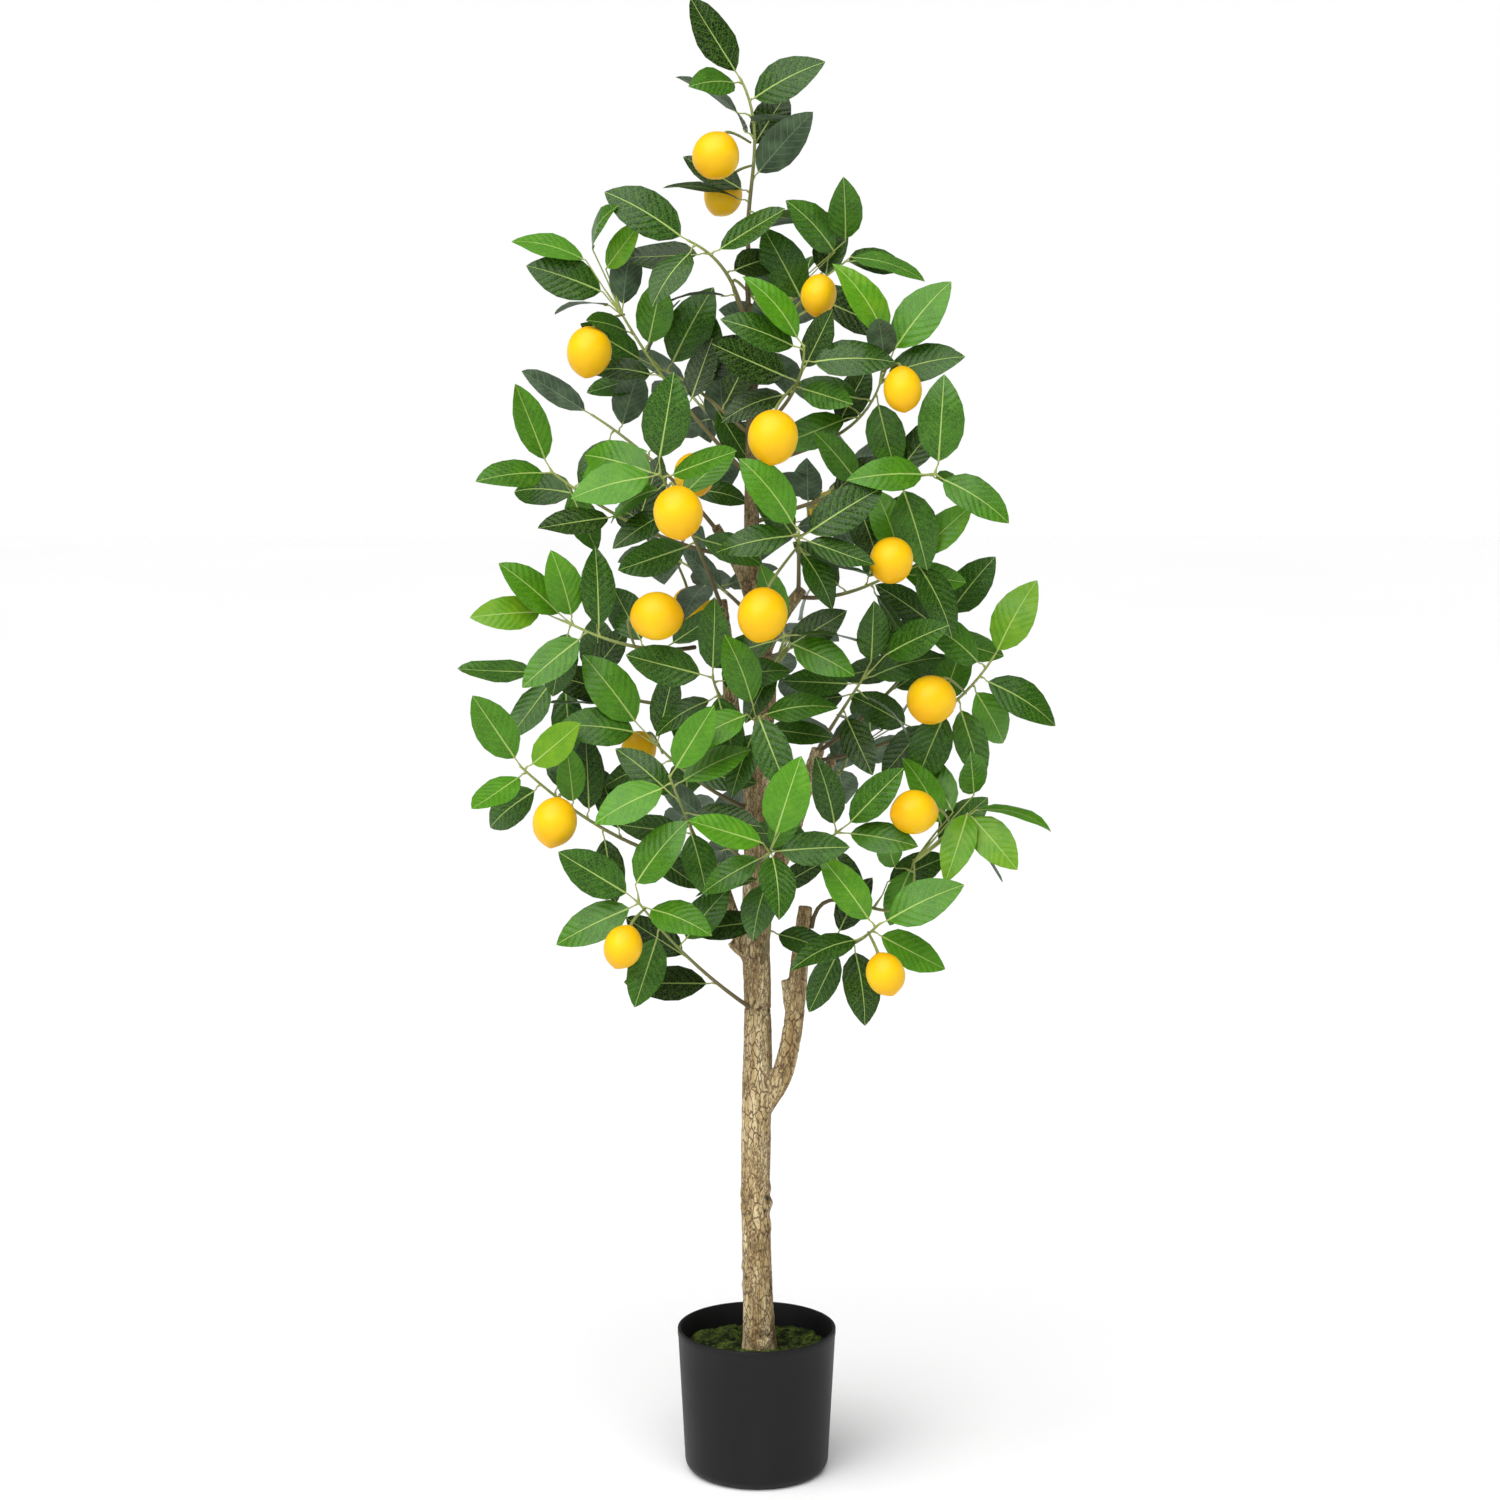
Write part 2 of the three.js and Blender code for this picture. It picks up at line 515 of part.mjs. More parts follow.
// A leaf along +X, its blade from the origin to its tip: two flat halves folded up from the midrib, with a low keel.
// Its three-sided petiole comes up to the origin from the twig.
function leafGeometry(length) {
  const half = (length * leaf.widthShare) / 2;
  const slope = Math.tan(radians(leaf.fold));
  const corner = (along, out, side) => [along * length, side * out * half, out * half * slope];
  const ring = (along) => [
    [along, -leaf.petioleRadius, leaf.petioleRadius], [along, leaf.petioleRadius, leaf.petioleRadius],
    [along, 0, -leaf.petioleRadius],
  ];
  const corners = [
    ...ring(-leaf.petiole), ...ring(0), [leaf.valley, 0, 0], corner(0.3, 0.94, -1), corner(0.68, 0.86, -1),
    [length, 0, 0], corner(0.68, 0.86, 1), corner(0.3, 0.94, 1), [0.45 * length, 0, -leaf.keel],
  ];
  const [footRight, footLeft, footBottom, right, left, bottom, valley, ...blade] = corners.keys();
  const [lowRight, highRight, tip, highLeft, lowLeft, keel] = blade;
  const faces = [
    [footRight, footLeft, footBottom],
    [footRight, right, left], [footRight, left, footLeft],
    [footLeft, left, bottom], [footLeft, bottom, footBottom],
    [footBottom, bottom, right], [footBottom, right, footRight],
    [right, valley, left],
    [valley, tip, highLeft], [valley, highLeft, lowLeft], [valley, lowLeft, left],
    [valley, right, lowRight], [valley, lowRight, highRight], [valley, highRight, tip],
  ];
  const rim = [bottom, right, lowRight, highRight, tip, highLeft, lowLeft, left];
  rim.forEach((from, i) => faces.push([rim[(i + 1) % rim.length], from, keel]));
  const geometry = new THREE.BufferGeometry();
  geometry.setAttribute('position', new THREE.Float32BufferAttribute(corners.flat(), 3));
  geometry.setIndex(faces.flat());
  return geometry;
}

// One leaf growing from a point on a twig, and the way that it points.
function leafSolid(root, [bearing, lean, length, face = leaf.face], turn) {
  const along = heading(bearing + turn[0], lean + turn[1]);
  const base = root.clone().addScaledVector(along, leaf.petiole);
  return [placed(leafGeometry(length), base, along, upperSide(along, face)), along];
}

// The turns that a leaf may try, from none to wide ones, until it is clear of all that is there.
const turns = [[0, 0]];
for (let size = 8; size <= 48; size += 8) {
  for (let i = 0; i < 8; i += 1) {
    const angle = (i * Math.PI) / 4;
    turns.push([size * Math.cos(angle), size * Math.sin(angle)]);
  }
}

const slides = [0, -0.05, 0.05, -0.1, 0.1];

function boxesMeet(a, b, margin) {
  return [0, 1, 2].every((k) => a.min[k] - margin < b.max[k] && b.min[k] - margin < a.max[k]);
}

function isClear(solid, others, distance) {
  const box = solid.boundingBox();
  return others.every(
    (other) => !boxesMeet(box, other.box, distance) || solid.minGap(other.solid, 2 * distance) >= distance
  );
}

const standing = [];
function keep(solid, owner) {
  standing.push({ solid, owner, box: solid.boundingBox() });
}

// Shoots

function twigCurve({ foot, tip, bow = [0, 0, 12] }) {
  const start = limbPoint(...foot);
  const end = new THREE.Vector3(...tip);
  const bend = start.clone().lerp(end, 0.5).addScaledVector(new THREE.Vector3(...bow), 2);
  return new THREE.QuadraticBezierCurve3(start, bend, end);
}

// The point at a place from 0 to 1 on the middle line of a twig's bar, which is straight between its steps.
function twigPoint(curve, place) {
  const points = curve.getSpacedPoints(twig.steps);
  const step = Math.min(Math.floor(place * twig.steps), twig.steps - 1);
  return points[step].lerp(points[step + 1], place * twig.steps - step);
}

function twigBar(curve, extra) {
  const radiusAt = (place) => THREE.MathUtils.lerp(twig.footRadius, twig.tipRadius, place) + extra;
  return taperedBar(curve, radiusAt, twig.sides, twig.steps);
}

// The leaves of a back shoot: round the twig in a spiral, leaning away from the front.
function spiralLeaves({ tip, start }) {
  const outward = Math.atan2(tip[0], tip[1]);
  const leaves = [];
  for (let i = 0; i < spiral.leaves; i += 1) {
    const share = i / (spiral.leaves - 1);
    const angle = radians(start + i * spiral.goldenAngle);
    const away = radians(spiral.spread) * Math.cos(angle);
    const bearing = THREE.MathUtils.radToDeg(angle) % 360;
    const lean = -25 - 30 * share - 20 * Math.cos(outward) * Math.abs(away);
    const length = THREE.MathUtils.lerp(spiral.shortest, spiral.longest, share);
    leaves.push([THREE.MathUtils.lerp(spiral.firstPlace, 1, share), bearing, lean, length, spiral.face]);
  }
  return leaves.reverse();
}

const allShoots = [...shoots, ...backShoots.map((shoot) => ({ ...shoot, leaves: spiralLeaves(shoot) }))];
const wood = woodSolid(0);
const woodRoom = woodSolid(gap);
const twigs = Object.fromEntries(allShoots.map((shoot) => [shoot.name, twigCurve(shoot)]));

function lemonSolid({ middle, size, stalk: [bearing, lean], from: [twigName, place] }) {
  const [width, height] = size;
  const profile = [[0, -0.5], [0.14, -0.45], [0.4, -0.28], [0.5, 0], [0.41, 0.27], [0.16, 0.45], [0, 0.47]];
  const scaled = profile.map(([out, up]) => new THREE.Vector2(out * width, up * height));
  const up = heading(bearing, lean);
  const turn = new THREE.Quaternion().setFromUnitVectors(new THREE.Vector3(0, 1, 0), up);
  const fruit = new THREE.LatheGeometry(scaled, 8);
  fruit.applyQuaternion(turn);
  fruit.translate(...middle);
  const top = new THREE.Vector3(...middle).addScaledVector(up, 0.47 * height);
  const inside = top.clone().addScaledVector(up, -stalk.into);
  const over = top.clone().addScaledVector(up, stalk.rise);
  const curve = new THREE.QuadraticBezierCurve3(inside, over, twigPoint(twigs[twigName], place));
  const stem = taperedBar(curve, () => stalk.radius, 4, 2);
  const whole = toSolid(fruit).add(stem);
  return largestBody(whole.subtract(twigBar(twigs[twigName], gap)));
}

// The pieces, each with its name, solid, colour, roughness

const pieces = [];
function addPiece(name, solid, colour, roughness) {
  pieces.push({ name, solid, colour, roughness });
}

addPiece('pot', stand(potSolid()), colours.potPlastic, 0.45);
addPiece('potting_fill', largestBody(stand(fillSolid()).subtract(woodRoom)), colours.soil, 0.95);
addPiece('moss', largestBody(stand(mossSolid()).subtract(woodRoom)), colours.moss, 1);
addPiece('trunk', wood, colours.bark, 0.85);

keep(wood, 'trunk');
for (const shoot of allShoots) {
  keep(largestBody(twigBar(twigs[shoot.name], 0).subtract(woodRoom)), shoot.name);
}
lemons.forEach((lemon, i) => {
  const name = `lemon_${String(i + 1).padStart(2, '0')}`;
  const solid = lemonSolid(lemon);
  keep(solid, name);
  addPiece(name, solid, colours.lemon, 0.4);
});

// Grows a shoot's leaves one at a time. Each is turned aside, and then slid along the twig, as far as it must be to
// stand clear of everything else, and its blade clear of its own twig.
function growLeaves(shoot) {
  const own = standing.filter((item) => item.owner === shoot.name);
  const grown = [];
  for (const [place, ...row] of shoot.leaves) {
    const others = standing.filter((item) => item.owner !== shoot.name);
    const places = slides.map((slide) => THREE.MathUtils.clamp(place + slide, 0, 1));
    const tries = places.flatMap((spot) => turns.map((turn) => ({ spot, turn })));
    for (const { spot, turn } of tries) {
      const root = twigPoint(twigs[shoot.name], spot);
      const [solid, along] = leafSolid(root, row, turn);
      const blade = solid.translate(along.clone().multiplyScalar(leaf.petiole / 2).toArray());
      if (isClear(solid, others, clear.leaf) && isClear(blade, own, clear.twig)) {
        keep(solid, `leaf of ${shoot.name}`);
        grown.push(solid);
        break;
      }
    }
  }
  return grown;
}

for (const shoot of allShoots) {
  const twigSolid = standing.find((item) => item.owner === shoot.name).solid;
  const whole = growLeaves(shoot).reduce((sum, one) => sum.add(one), twigSolid);
  addPiece(shoot.name, largestBody(whole.subtract(woodRoom)), colours.leaf, 0.5);
}

const tree = new THREE.Group();
for (const { name, solid, colour, roughness } of pieces) {
  const material = new THREE.MeshStandardMaterial({ color: colour, roughness, metalness: 0 });
  const mesh = new THREE.Mesh(toGeometry(solid), material);
  mesh.name = name;
  tree.add(mesh);
}

export default tree;
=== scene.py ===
# A potted lemon tree, 1.5 m tall, dressed round its CAD frame. Metres, +Z up, the front towards -Y.
# Lengths in the dictionaries are in millimetres unless a note says otherwise.
import random
from math import atan2, cos, exp, pi, radians, sin, tan

import bmesh
import bpy
import numpy as np
from mathutils import Matrix, Vector, noise


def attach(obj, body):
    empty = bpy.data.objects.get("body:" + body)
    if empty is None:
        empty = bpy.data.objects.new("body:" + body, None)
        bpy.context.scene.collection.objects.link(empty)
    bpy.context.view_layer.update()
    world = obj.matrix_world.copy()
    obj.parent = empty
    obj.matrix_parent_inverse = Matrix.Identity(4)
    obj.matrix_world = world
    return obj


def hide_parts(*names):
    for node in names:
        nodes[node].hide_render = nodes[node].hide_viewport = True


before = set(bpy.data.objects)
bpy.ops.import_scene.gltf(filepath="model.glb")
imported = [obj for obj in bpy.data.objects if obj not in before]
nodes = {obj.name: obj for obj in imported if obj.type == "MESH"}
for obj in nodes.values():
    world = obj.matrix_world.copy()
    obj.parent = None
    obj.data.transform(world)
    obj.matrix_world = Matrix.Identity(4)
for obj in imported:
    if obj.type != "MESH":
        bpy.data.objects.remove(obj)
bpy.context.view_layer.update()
mm = 0.001

camera = {"place": (-0.007, -3.0, 1.17), "lookDown": 7.8, "lens": 71.5}  # metres, degrees and mm
bpy.ops.object.camera_add(location=camera["place"], rotation=(radians(90 - camera["lookDown"]), 0, 0))
bpy.context.object.data.lens = camera["lens"]
bpy.context.scene.camera = bpy.context.object
bpy.context.scene.view_settings.view_transform = "Standard"
print("camera placed")


# Helpers for materials

def toLinear(hexColour):
    parts = [int(hexColour[i:i + 2], 16) / 255 for i in (1, 3, 5)]
    return tuple(c / 12.92 if c < 0.04045 else ((c + 0.055) / 1.055) ** 2.4 for c in parts) + (1.0,)


def addNode(tree, kind, settings=None, links=None, stops=None):
    node = tree.nodes.new("ShaderNode" + kind)
    for key, value in (settings or {}).items():
        if isinstance(key, int) or key in node.inputs:
            node.inputs[key].default_value = value
        else:
            setattr(node, key, value)
    for key, output in (links or {}).items():
        tree.links.new(output, node.inputs[key])
    for i, (place, colour) in enumerate(stops or []):
        ramp = node.color_ramp.elements
        stop = ramp[i] if i < 2 else ramp.new(place)
        stop.position = place
        stop.color = toLinear(colour)
    return node


def newMaterial(name, constants):
    material = bpy.data.materials.new(name)
    material.use_nodes = True
    shader = material.node_tree.nodes["Principled BSDF"]
    for socket, value in constants.items():
        shader.inputs[socket].default_value = value
    return material, material.node_tree, shader


# Helpers for modelling

def startClean():
    if bpy.context.object and bpy.context.object.mode == "EDIT":
        bpy.ops.object.mode_set(mode="OBJECT")
    bpy.ops.object.select_all(action="DESELECT")


def pickPoints(test):
    sheet = bmesh.from_edit_mesh(bpy.context.object.data)
    sheet.select_mode = {"VERT"}
    bpy.ops.mesh.select_mode(type="VERT")
    for v in sheet.verts:
        v.select_set(bool(test(v.co)))
    sheet.select_flush_mode()
    bmesh.update_edit_mesh(bpy.context.object.data)


def joinUnder(name, pieces):
    startClean()
    for piece in pieces:
        piece.select_set(True)
    bpy.context.view_layer.objects.active = pieces[0]
    if len(pieces) > 1:
        bpy.ops.object.join()
    joined = bpy.context.object
    joined.name = joined.data.name = name
    return joined


def applyModifiers(piece):
    startClean()
    piece.select_set(True)
    bpy.context.view_layer.objects.active = piece
    for modifier in list(piece.modifiers):
        bpy.ops.object.modifier_apply(modifier=modifier.name)


def smooth(piece, degrees=180):
    startClean()
    piece.select_set(True)
    bpy.context.view_layer.objects.active = piece
    if degrees < 180:
        bpy.ops.object.shade_smooth_by_angle(angle=radians(degrees))
    else:
        bpy.ops.object.shade_smooth()


def placePiece(piece, slot, *replaced):
    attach(piece, "root")
    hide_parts(*replaced)


def setTone(piece, name, values):
    tone = piece.data.attributes.new(name, "FLOAT", "POINT")
    tone.data.foreach_set("value", values)


def smoothRoute(points, radii, steps):
    # Catmull-Rom through the points, with the radius carried along
    rows = [Vector((*p, r)) for p, r in zip(points, radii)]
    rows = [rows[0] * 2 - rows[1]] + rows + [rows[-1] * 2 - rows[-2]]
    fine = []
    for a, b, c, d in zip(rows, rows[1:], rows[2:], rows[3:]):
        for k in range(steps):
            t = k / steps
            fine.append(((b * 2) + (c - a) * t + (a * 2 - b * 5 + c * 4 - d) * t ** 2
                         + (b * 3 - a - c * 3 + d) * t ** 3) / 2)
    return fine + [rows[-2]]


def tubeMesh(name, routes, sidesLevel):
    # each route is a list of (x, y, z, radius); the tubes come back as one mesh with closed ends
    curve = bpy.data.curves.new(name, "CURVE")
    curve.dimensions = "3D"
    curve.bevel_depth = 1.0
    curve.bevel_resolution = sidesLevel
    curve.use_fill_caps = True
    for route in routes:
        spline = curve.splines.new("POLY")
        spline.points.add(len(route) - 1)
        for point, row in zip(spline.points, route):
            point.co = (*row[:3], 1.0)
            point.radius = row[3]
    tube = bpy.data.objects.new(name, curve)
    bpy.context.scene.collection.objects.link(tube)
    startClean()
    tube.select_set(True)
    bpy.context.view_layer.objects.active = tube
    bpy.ops.object.convert(target="MESH")
    return bpy.context.object


# Reading the frame: where the CAD put each leaf, twig and fruit

leafReading = {
    "weld": 0.005,  # loose triangles closer than this are one surface
    "shortest": 45,  # only a leaf's valley line is longer
    "flat": 0.97,  # faces whose normals agree more than this make no V
    "neck": 2,  # the blade starts this far before the valley line
    "petiole": 9.5,  # length of stalk counted with the leaf
    "reach": 0.26,  # half of a leaf's width, as a share of its length
}
lemonReading = {
    "equal": 0.02,  # how much the edges round a pole may differ
    "poleDepth": 0.05,  # the first ring's distance from the pole, as a share of the fruit's height
    "poleWidth": 0.14,  # and its radius, as a share of the fruit's width
    "hook": 3.2,  # the stalk's far end lies within this of its farthest point
}


def weldedCopy(node):
    sheet = bmesh.new()
    sheet.from_mesh(node.data)
    bmesh.ops.remove_doubles(sheet, verts=sheet.verts, dist=leafReading["weld"] * mm)
    sheet.normal_update()
    return sheet


def readShoot(node):
    # a leaf's valley line is its only long edge, and the two faces along it meet in a shallow V
    sheet = weldedCopy(node)
    leaves = []
    for edge in sheet.edges:
        if edge.calc_length() < leafReading["shortest"] * mm or len(edge.link_faces) != 2:
            continue
        one, two = edge.link_faces
        far = [v.co for face in (one, two) for v in face.verts if v not in edge.verts]
        up = (one.normal + two.normal).normalized()
        middle = (edge.verts[0].co + edge.verts[1].co) / 2
        ridge = ((far[0] + far[1]) / 2 - middle).dot(up) < 0
        if ridge or one.normal.dot(two.normal) > leafReading["flat"]:
            continue
        valley, tip = sorted((v.co.copy() for v in edge.verts), key=lambda c: -(c - far[0]).length)
        along = (tip - valley).normalized()
        neck = leafReading["neck"] * mm
        leaves.append({"base": valley - along * neck, "along": along, "up": up,
                       "length": (tip - valley).length + neck})
    wood = [v.co.copy() for v in sheet.verts if not any(inLeaf(v.co, leaf) for leaf in leaves)]
    sheet.free()
    return leaves, twigLine(wood)


def inLeaf(place, leaf):
    x = (place - leaf["base"]).dot(leaf["along"])
    away = place - leaf["base"] - leaf["along"] * x
    beside = away.length < leaf["length"] * leafReading["reach"]
    return -leafReading["petiole"] * mm < x < leaf["length"] + mm and beside


def twigLine(wood):
    # a cubic through the twig's points, from its foot at 0 to its tip at 1
    foot = min(wood, key=lambda c: c.z)
    tip = max(wood, key=lambda c: (c - foot).length)
    span = tip - foot
    places = [(c - foot).dot(span) / span.length_squared for c in wood]
    fits = [np.polyfit(places, [c[i] for c in wood], 3) for i in range(3)]
    return lambda t: Vector([float(np.polyval(fit, t)) for fit in fits])


def edgeSpread(v):
    lengths = [edge.calc_length() for edge in v.link_edges]
    return (max(lengths) - min(lengths)) / min(lengths)


def ringMiddle(v):
    return sum((edge.other_vert(v).co for edge in v.link_edges), Vector()) / len(v.link_edges)


def readLemon(node):
    # eight equal edges meet at each pole, and the blossom pole's ring, the deeper one, gives axis and size
    sheet = weldedCopy(node)
    poles = [v for v in sheet.verts if len(v.link_edges) == 8 and edgeSpread(v) < lemonReading["equal"]]
    pole = max(poles, key=lambda v: (ringMiddle(v) - v.co).length)
    ring = [edge.other_vert(pole).co for edge in pole.link_edges]
    middle = ringMiddle(pole)
    axis = (middle - pole.co).normalized()
    height = (middle - pole.co).length / lemonReading["poleDepth"]
    width = (ring[0] - middle).length / lemonReading["poleWidth"]
    centre = pole.co + axis * height / 2
    farthest = max((v.co for v in sheet.verts), key=lambda c: (c - centre).length)
    hook = [v.co for v in sheet.verts if (v.co - farthest).length < lemonReading["hook"] * mm]
    end = sum(hook, Vector()) / len(hook)
    sheet.free()
    return {"centre": centre, "axis": axis, "height": height, "width": width, "end": end}


# Materials

leafLook = {
    "veins": 9, "veinLean": 0.7, "netCells": 30, "midribWidth": 0.012,  # for a leaf of length 1
    "veinShare": 0.3, "netShare": 0.24, "gloss": 0.3,
    "dark": "#071602", "mid": "#1C4404", "bright": "#447E07", "young": "#6C9312",
    "vein": "#7DAE38", "midrib": "#A5BE66",
    "backDark": "#22341D", "backPale": "#4A6243", "backVein": "#7C9670",
}


def veinPattern(tree, look):
    # the leaf's own map runs 0 to 1 from stalk to tip, with the midrib at 0
    uv = addNode(tree, "UVMap", {"uv_map": "leafMap"})
    parts = addNode(tree, "SeparateXYZ", links={0: uv.outputs[0]})
    away = addNode(tree, "Math", {"operation": "ABSOLUTE"}, {0: parts.outputs[1]})
    side = addNode(tree, "Math", {"operation": "SIGN"}, {0: parts.outputs[1]})
    wander = addNode(tree, "TexNoise", {"Scale": 7.0, "Detail": 1.0}, {"Vector": uv.outputs[0]})
    lean = addNode(tree, "Math", {"operation": "MULTIPLY_ADD", 1: -look["veinLean"]},
                   {0: away.outputs[0], 2: parts.outputs[0]})
    bow = addNode(tree, "Math", {"operation": "MULTIPLY"}, {0: away.outputs[0], 1: away.outputs[0]})
    curved = addNode(tree, "Math", {"operation": "MULTIPLY_ADD", 1: -1.4},
                     {0: bow.outputs[0], 2: lean.outputs[0]})
    shifted = addNode(tree, "Math", {"operation": "MULTIPLY_ADD", 1: 0.026},
                      {0: side.outputs[0], 2: curved.outputs[0]})
    wandered = addNode(tree, "Math", {"operation": "MULTIPLY_ADD", 1: 0.03},
                       {0: wander.outputs[0], 2: shifted.outputs[0]})
    rows = addNode(tree, "Math", {"operation": "MULTIPLY", 1: look["veins"]}, {0: wandered.outputs[0]})
    saw = addNode(tree, "Math", {"operation": "PINGPONG", 1: 0.5}, {0: rows.outputs[0]})
    stripe = addNode(tree, "MapRange", {
        "interpolation_type": "SMOOTHSTEP", 1: 0.0, 2: 0.07, 3: 1.0, 4: 0.0}, {0: saw.outputs[0]})
    fade = addNode(tree, "MapRange", {1: 0.13, 2: 0.24, 3: 1.0, 4: 0.2}, {0: away.outputs[0]})
    sideVeins = addNode(tree, "Math", {"operation": "MULTIPLY"}, {0: stripe.outputs[0], 1: fade.outputs[0]})
    taper = addNode(tree, "MapRange", {1: 0.0, 2: 1.0, 3: look["midribWidth"], 4: 0.003},
                    {0: parts.outputs[0]})
    ribShare = addNode(tree, "Math", {"operation": "DIVIDE"}, {0: away.outputs[0], 1: taper.outputs[0]})
    midrib = addNode(tree, "MapRange", {
        "interpolation_type": "SMOOTHSTEP", 1: 0.55, 2: 1.3, 3: 1.0, 4: 0.0}, {0: ribShare.outputs[0]})
    net = addNode(tree, "TexVoronoi", {"feature": "DISTANCE_TO_EDGE", "Scale": look["netCells"]},
                  {"Vector": uv.outputs[0]})
    netLines = addNode(tree, "MapRange", {
        "interpolation_type": "SMOOTHSTEP", 1: 0.0, 2: 0.12, 3: 1.0, 4: 0.0}, {0: net.outputs["Distance"]})
    # the puffed flesh between two side veins
    quilt = addNode(tree, "MapRange", {"interpolation_type": "SMOOTHSTEP", 1: 0.0, 2: 0.5},
                    {0: saw.outputs[0]})
    return {"map": uv.outputs[0], "side": sideVeins.outputs[0], "midrib": midrib.outputs[0],
            "net": netLines.outputs[0], "quilt": quilt.outputs[0]}


def leafTopMaterial(look):
    # Citrus leaf, upper side: waxy cuticle over green flesh, so a soft gloss, sunken veins, a pale midrib
    material, tree, shader = newMaterial("citrusLeafWaxyTop", {
        "IOR": 1.45, "Specular IOR Level": 0.32})
    veins = veinPattern(tree, look)
    # the tone attribute carries each leaf's own shade of green together with painted light and shade from
    # its place in the crown
    tone = addNode(tree, "Attribute", {"attribute_name": "tone"})
    blotch = addNode(tree, "TexNoise", {"Scale": 4.0, "Detail": 3.0}, {"Vector": veins["map"]})
    lift = addNode(tree, "Math", {"operation": "MULTIPLY_ADD", 1: 0.3},
                   {0: blotch.outputs[0], 2: tone.outputs["Fac"]})
    level = addNode(tree, "Math", {"operation": "SUBTRACT", 1: 0.15}, {0: lift.outputs[0]})
    flesh = addNode(tree, "ValToRGB", links={0: level.outputs[0]}, stops=[
        (0.05, look["dark"]), (0.48, look["mid"]), (0.82, look["bright"]), (1.0, look["young"])])
    netShare = addNode(tree, "Math", {"operation": "MULTIPLY", 1: look["netShare"]}, {0: veins["net"]})
    sideShare = addNode(tree, "Math", {"operation": "MULTIPLY", 1: look["veinShare"]}, {0: veins["side"]})
    veinShare = addNode(tree, "Math", {"operation": "MAXIMUM"},
                        {0: sideShare.outputs[0], 1: netShare.outputs[0]})
    withVeins = addNode(tree, "Mix", {"data_type": "RGBA", 7: toLinear(look["vein"])},
                        {0: veinShare.outputs[0], 6: flesh.outputs[0]})
    ribShare = addNode(tree, "Math", {"operation": "MULTIPLY", 1: 0.85}, {0: veins["midrib"]})
    colour = addNode(tree, "Mix", {"data_type": "RGBA", 7: toLinear(look["midrib"])},
                     {0: ribShare.outputs[0], 6: withVeins.outputs[2]})
    tree.links.new(colour.outputs[2], shader.inputs["Base Color"])
    rough = addNode(tree, "MapRange", {
        1: 0.0, 2: look["veinShare"], 3: look["gloss"], 4: look["gloss"] + 0.16}, {0: veinShare.outputs[0]})
    tree.links.new(rough.outputs[0], shader.inputs["Roughness"])
    puffed = addNode(tree, "Math", {"operation": "ADD"}, {0: veins["quilt"], 1: veins["midrib"]})
    bump = addNode(tree, "Bump", {"Strength": 0.4, "Distance": 0.7 * mm}, {"Height": puffed.outputs[0]})
    tree.links.new(bump.outputs[0], shader.inputs["Normal"])
    return material


def leafBackMaterial(look):
    # Citrus leaf, underside: matt grey-green without wax, its veins standing proud
    material, tree, shader = newMaterial("citrusLeafMattBack", {"IOR": 1.4, "Roughness": 0.62})
    veins = veinPattern(tree, look)
    blotch = addNode(tree, "TexNoise", {"Scale": 4.0, "Detail": 4.0}, {"Vector": veins["map"]})
    flesh = addNode(tree, "ValToRGB", links={0: blotch.outputs[0]}, stops=[
        (0.3, look["backDark"]), (0.7, look["backPale"])])
    veined = addNode(tree, "Math", {"operation": "MAXIMUM"}, {0: veins["side"], 1: veins["midrib"]})
    share = addNode(tree, "Math", {"operation": "MULTIPLY", 1: 0.45}, {0: veined.outputs[0]})
    colour = addNode(tree, "Mix", {"data_type": "RGBA", 7: toLinear(look["backVein"])},
                     {0: share.outputs[0], 6: flesh.outputs[0]})
    tree.links.new(colour.outputs[2], shader.inputs["Base Color"])
    bump = addNode(tree, "Bump", {"Strength": 0.4, "Distance": 0.3 * mm}, {"Height": veined.outputs[0]})
    tree.links.new(bump.outputs[0], shader.inputs["Normal"])
    return material


def twigMaterial():
    # Citrus twig: green and waxy at the tip, turning to thin grey-brown bark towards its foot
    material, tree, shader = newMaterial("citrusTwigBark", {"IOR": 1.45})
    age = addNode(tree, "Attribute", {"attribute_name": "youth"})
    place = addNode(tree, "TexCoord")
    grain = addNode(tree, "TexNoise", {"Scale": 260.0, "Detail": 3.0}, {"Vector": place.outputs["Object"]})
    mixed = addNode(tree, "Math", {"operation": "MULTIPLY_ADD", 1: 0.35},
                    {0: grain.outputs[0], 2: age.outputs["Fac"]})
    level = addNode(tree, "Math", {"operation": "SUBTRACT", 1: 0.17}, {0: mixed.outputs[0]})
    colour = addNode(tree, "ValToRGB", links={0: level.outputs[0]}, stops=[
        (0.05, "#574A30"), (0.35, "#6C633C"), (0.65, "#7A8644"), (1.0, "#98A556")])
    tree.links.new(colour.outputs[0], shader.inputs["Base Color"])
    rough = addNode(tree, "MapRange", {3: 0.75, 4: 0.45}, {0: age.outputs["Fac"]})
    tree.links.new(rough.outputs[0], shader.inputs["Roughness"])
    bump = addNode(tree, "Bump", {"Strength": 0.3, "Distance": 0.4 * mm}, {"Height": grain.outputs[0]})
    tree.links.new(bump.outputs[0], shader.inputs["Normal"])
    return material


# the darkest brown goes into the sunken fissures, scar eyes and cuts: partly the bark's dark inside, partly
# painted shade
barkLook = {"plate": 7.5, "flake": 3.4, "pale": "#DCCBA2", "tan": "#B39D70", "streak": "#8F764A",
            "crackle": "#5E4330", "crackAndShade": "#2A2116", "upper": "#4B4526"}


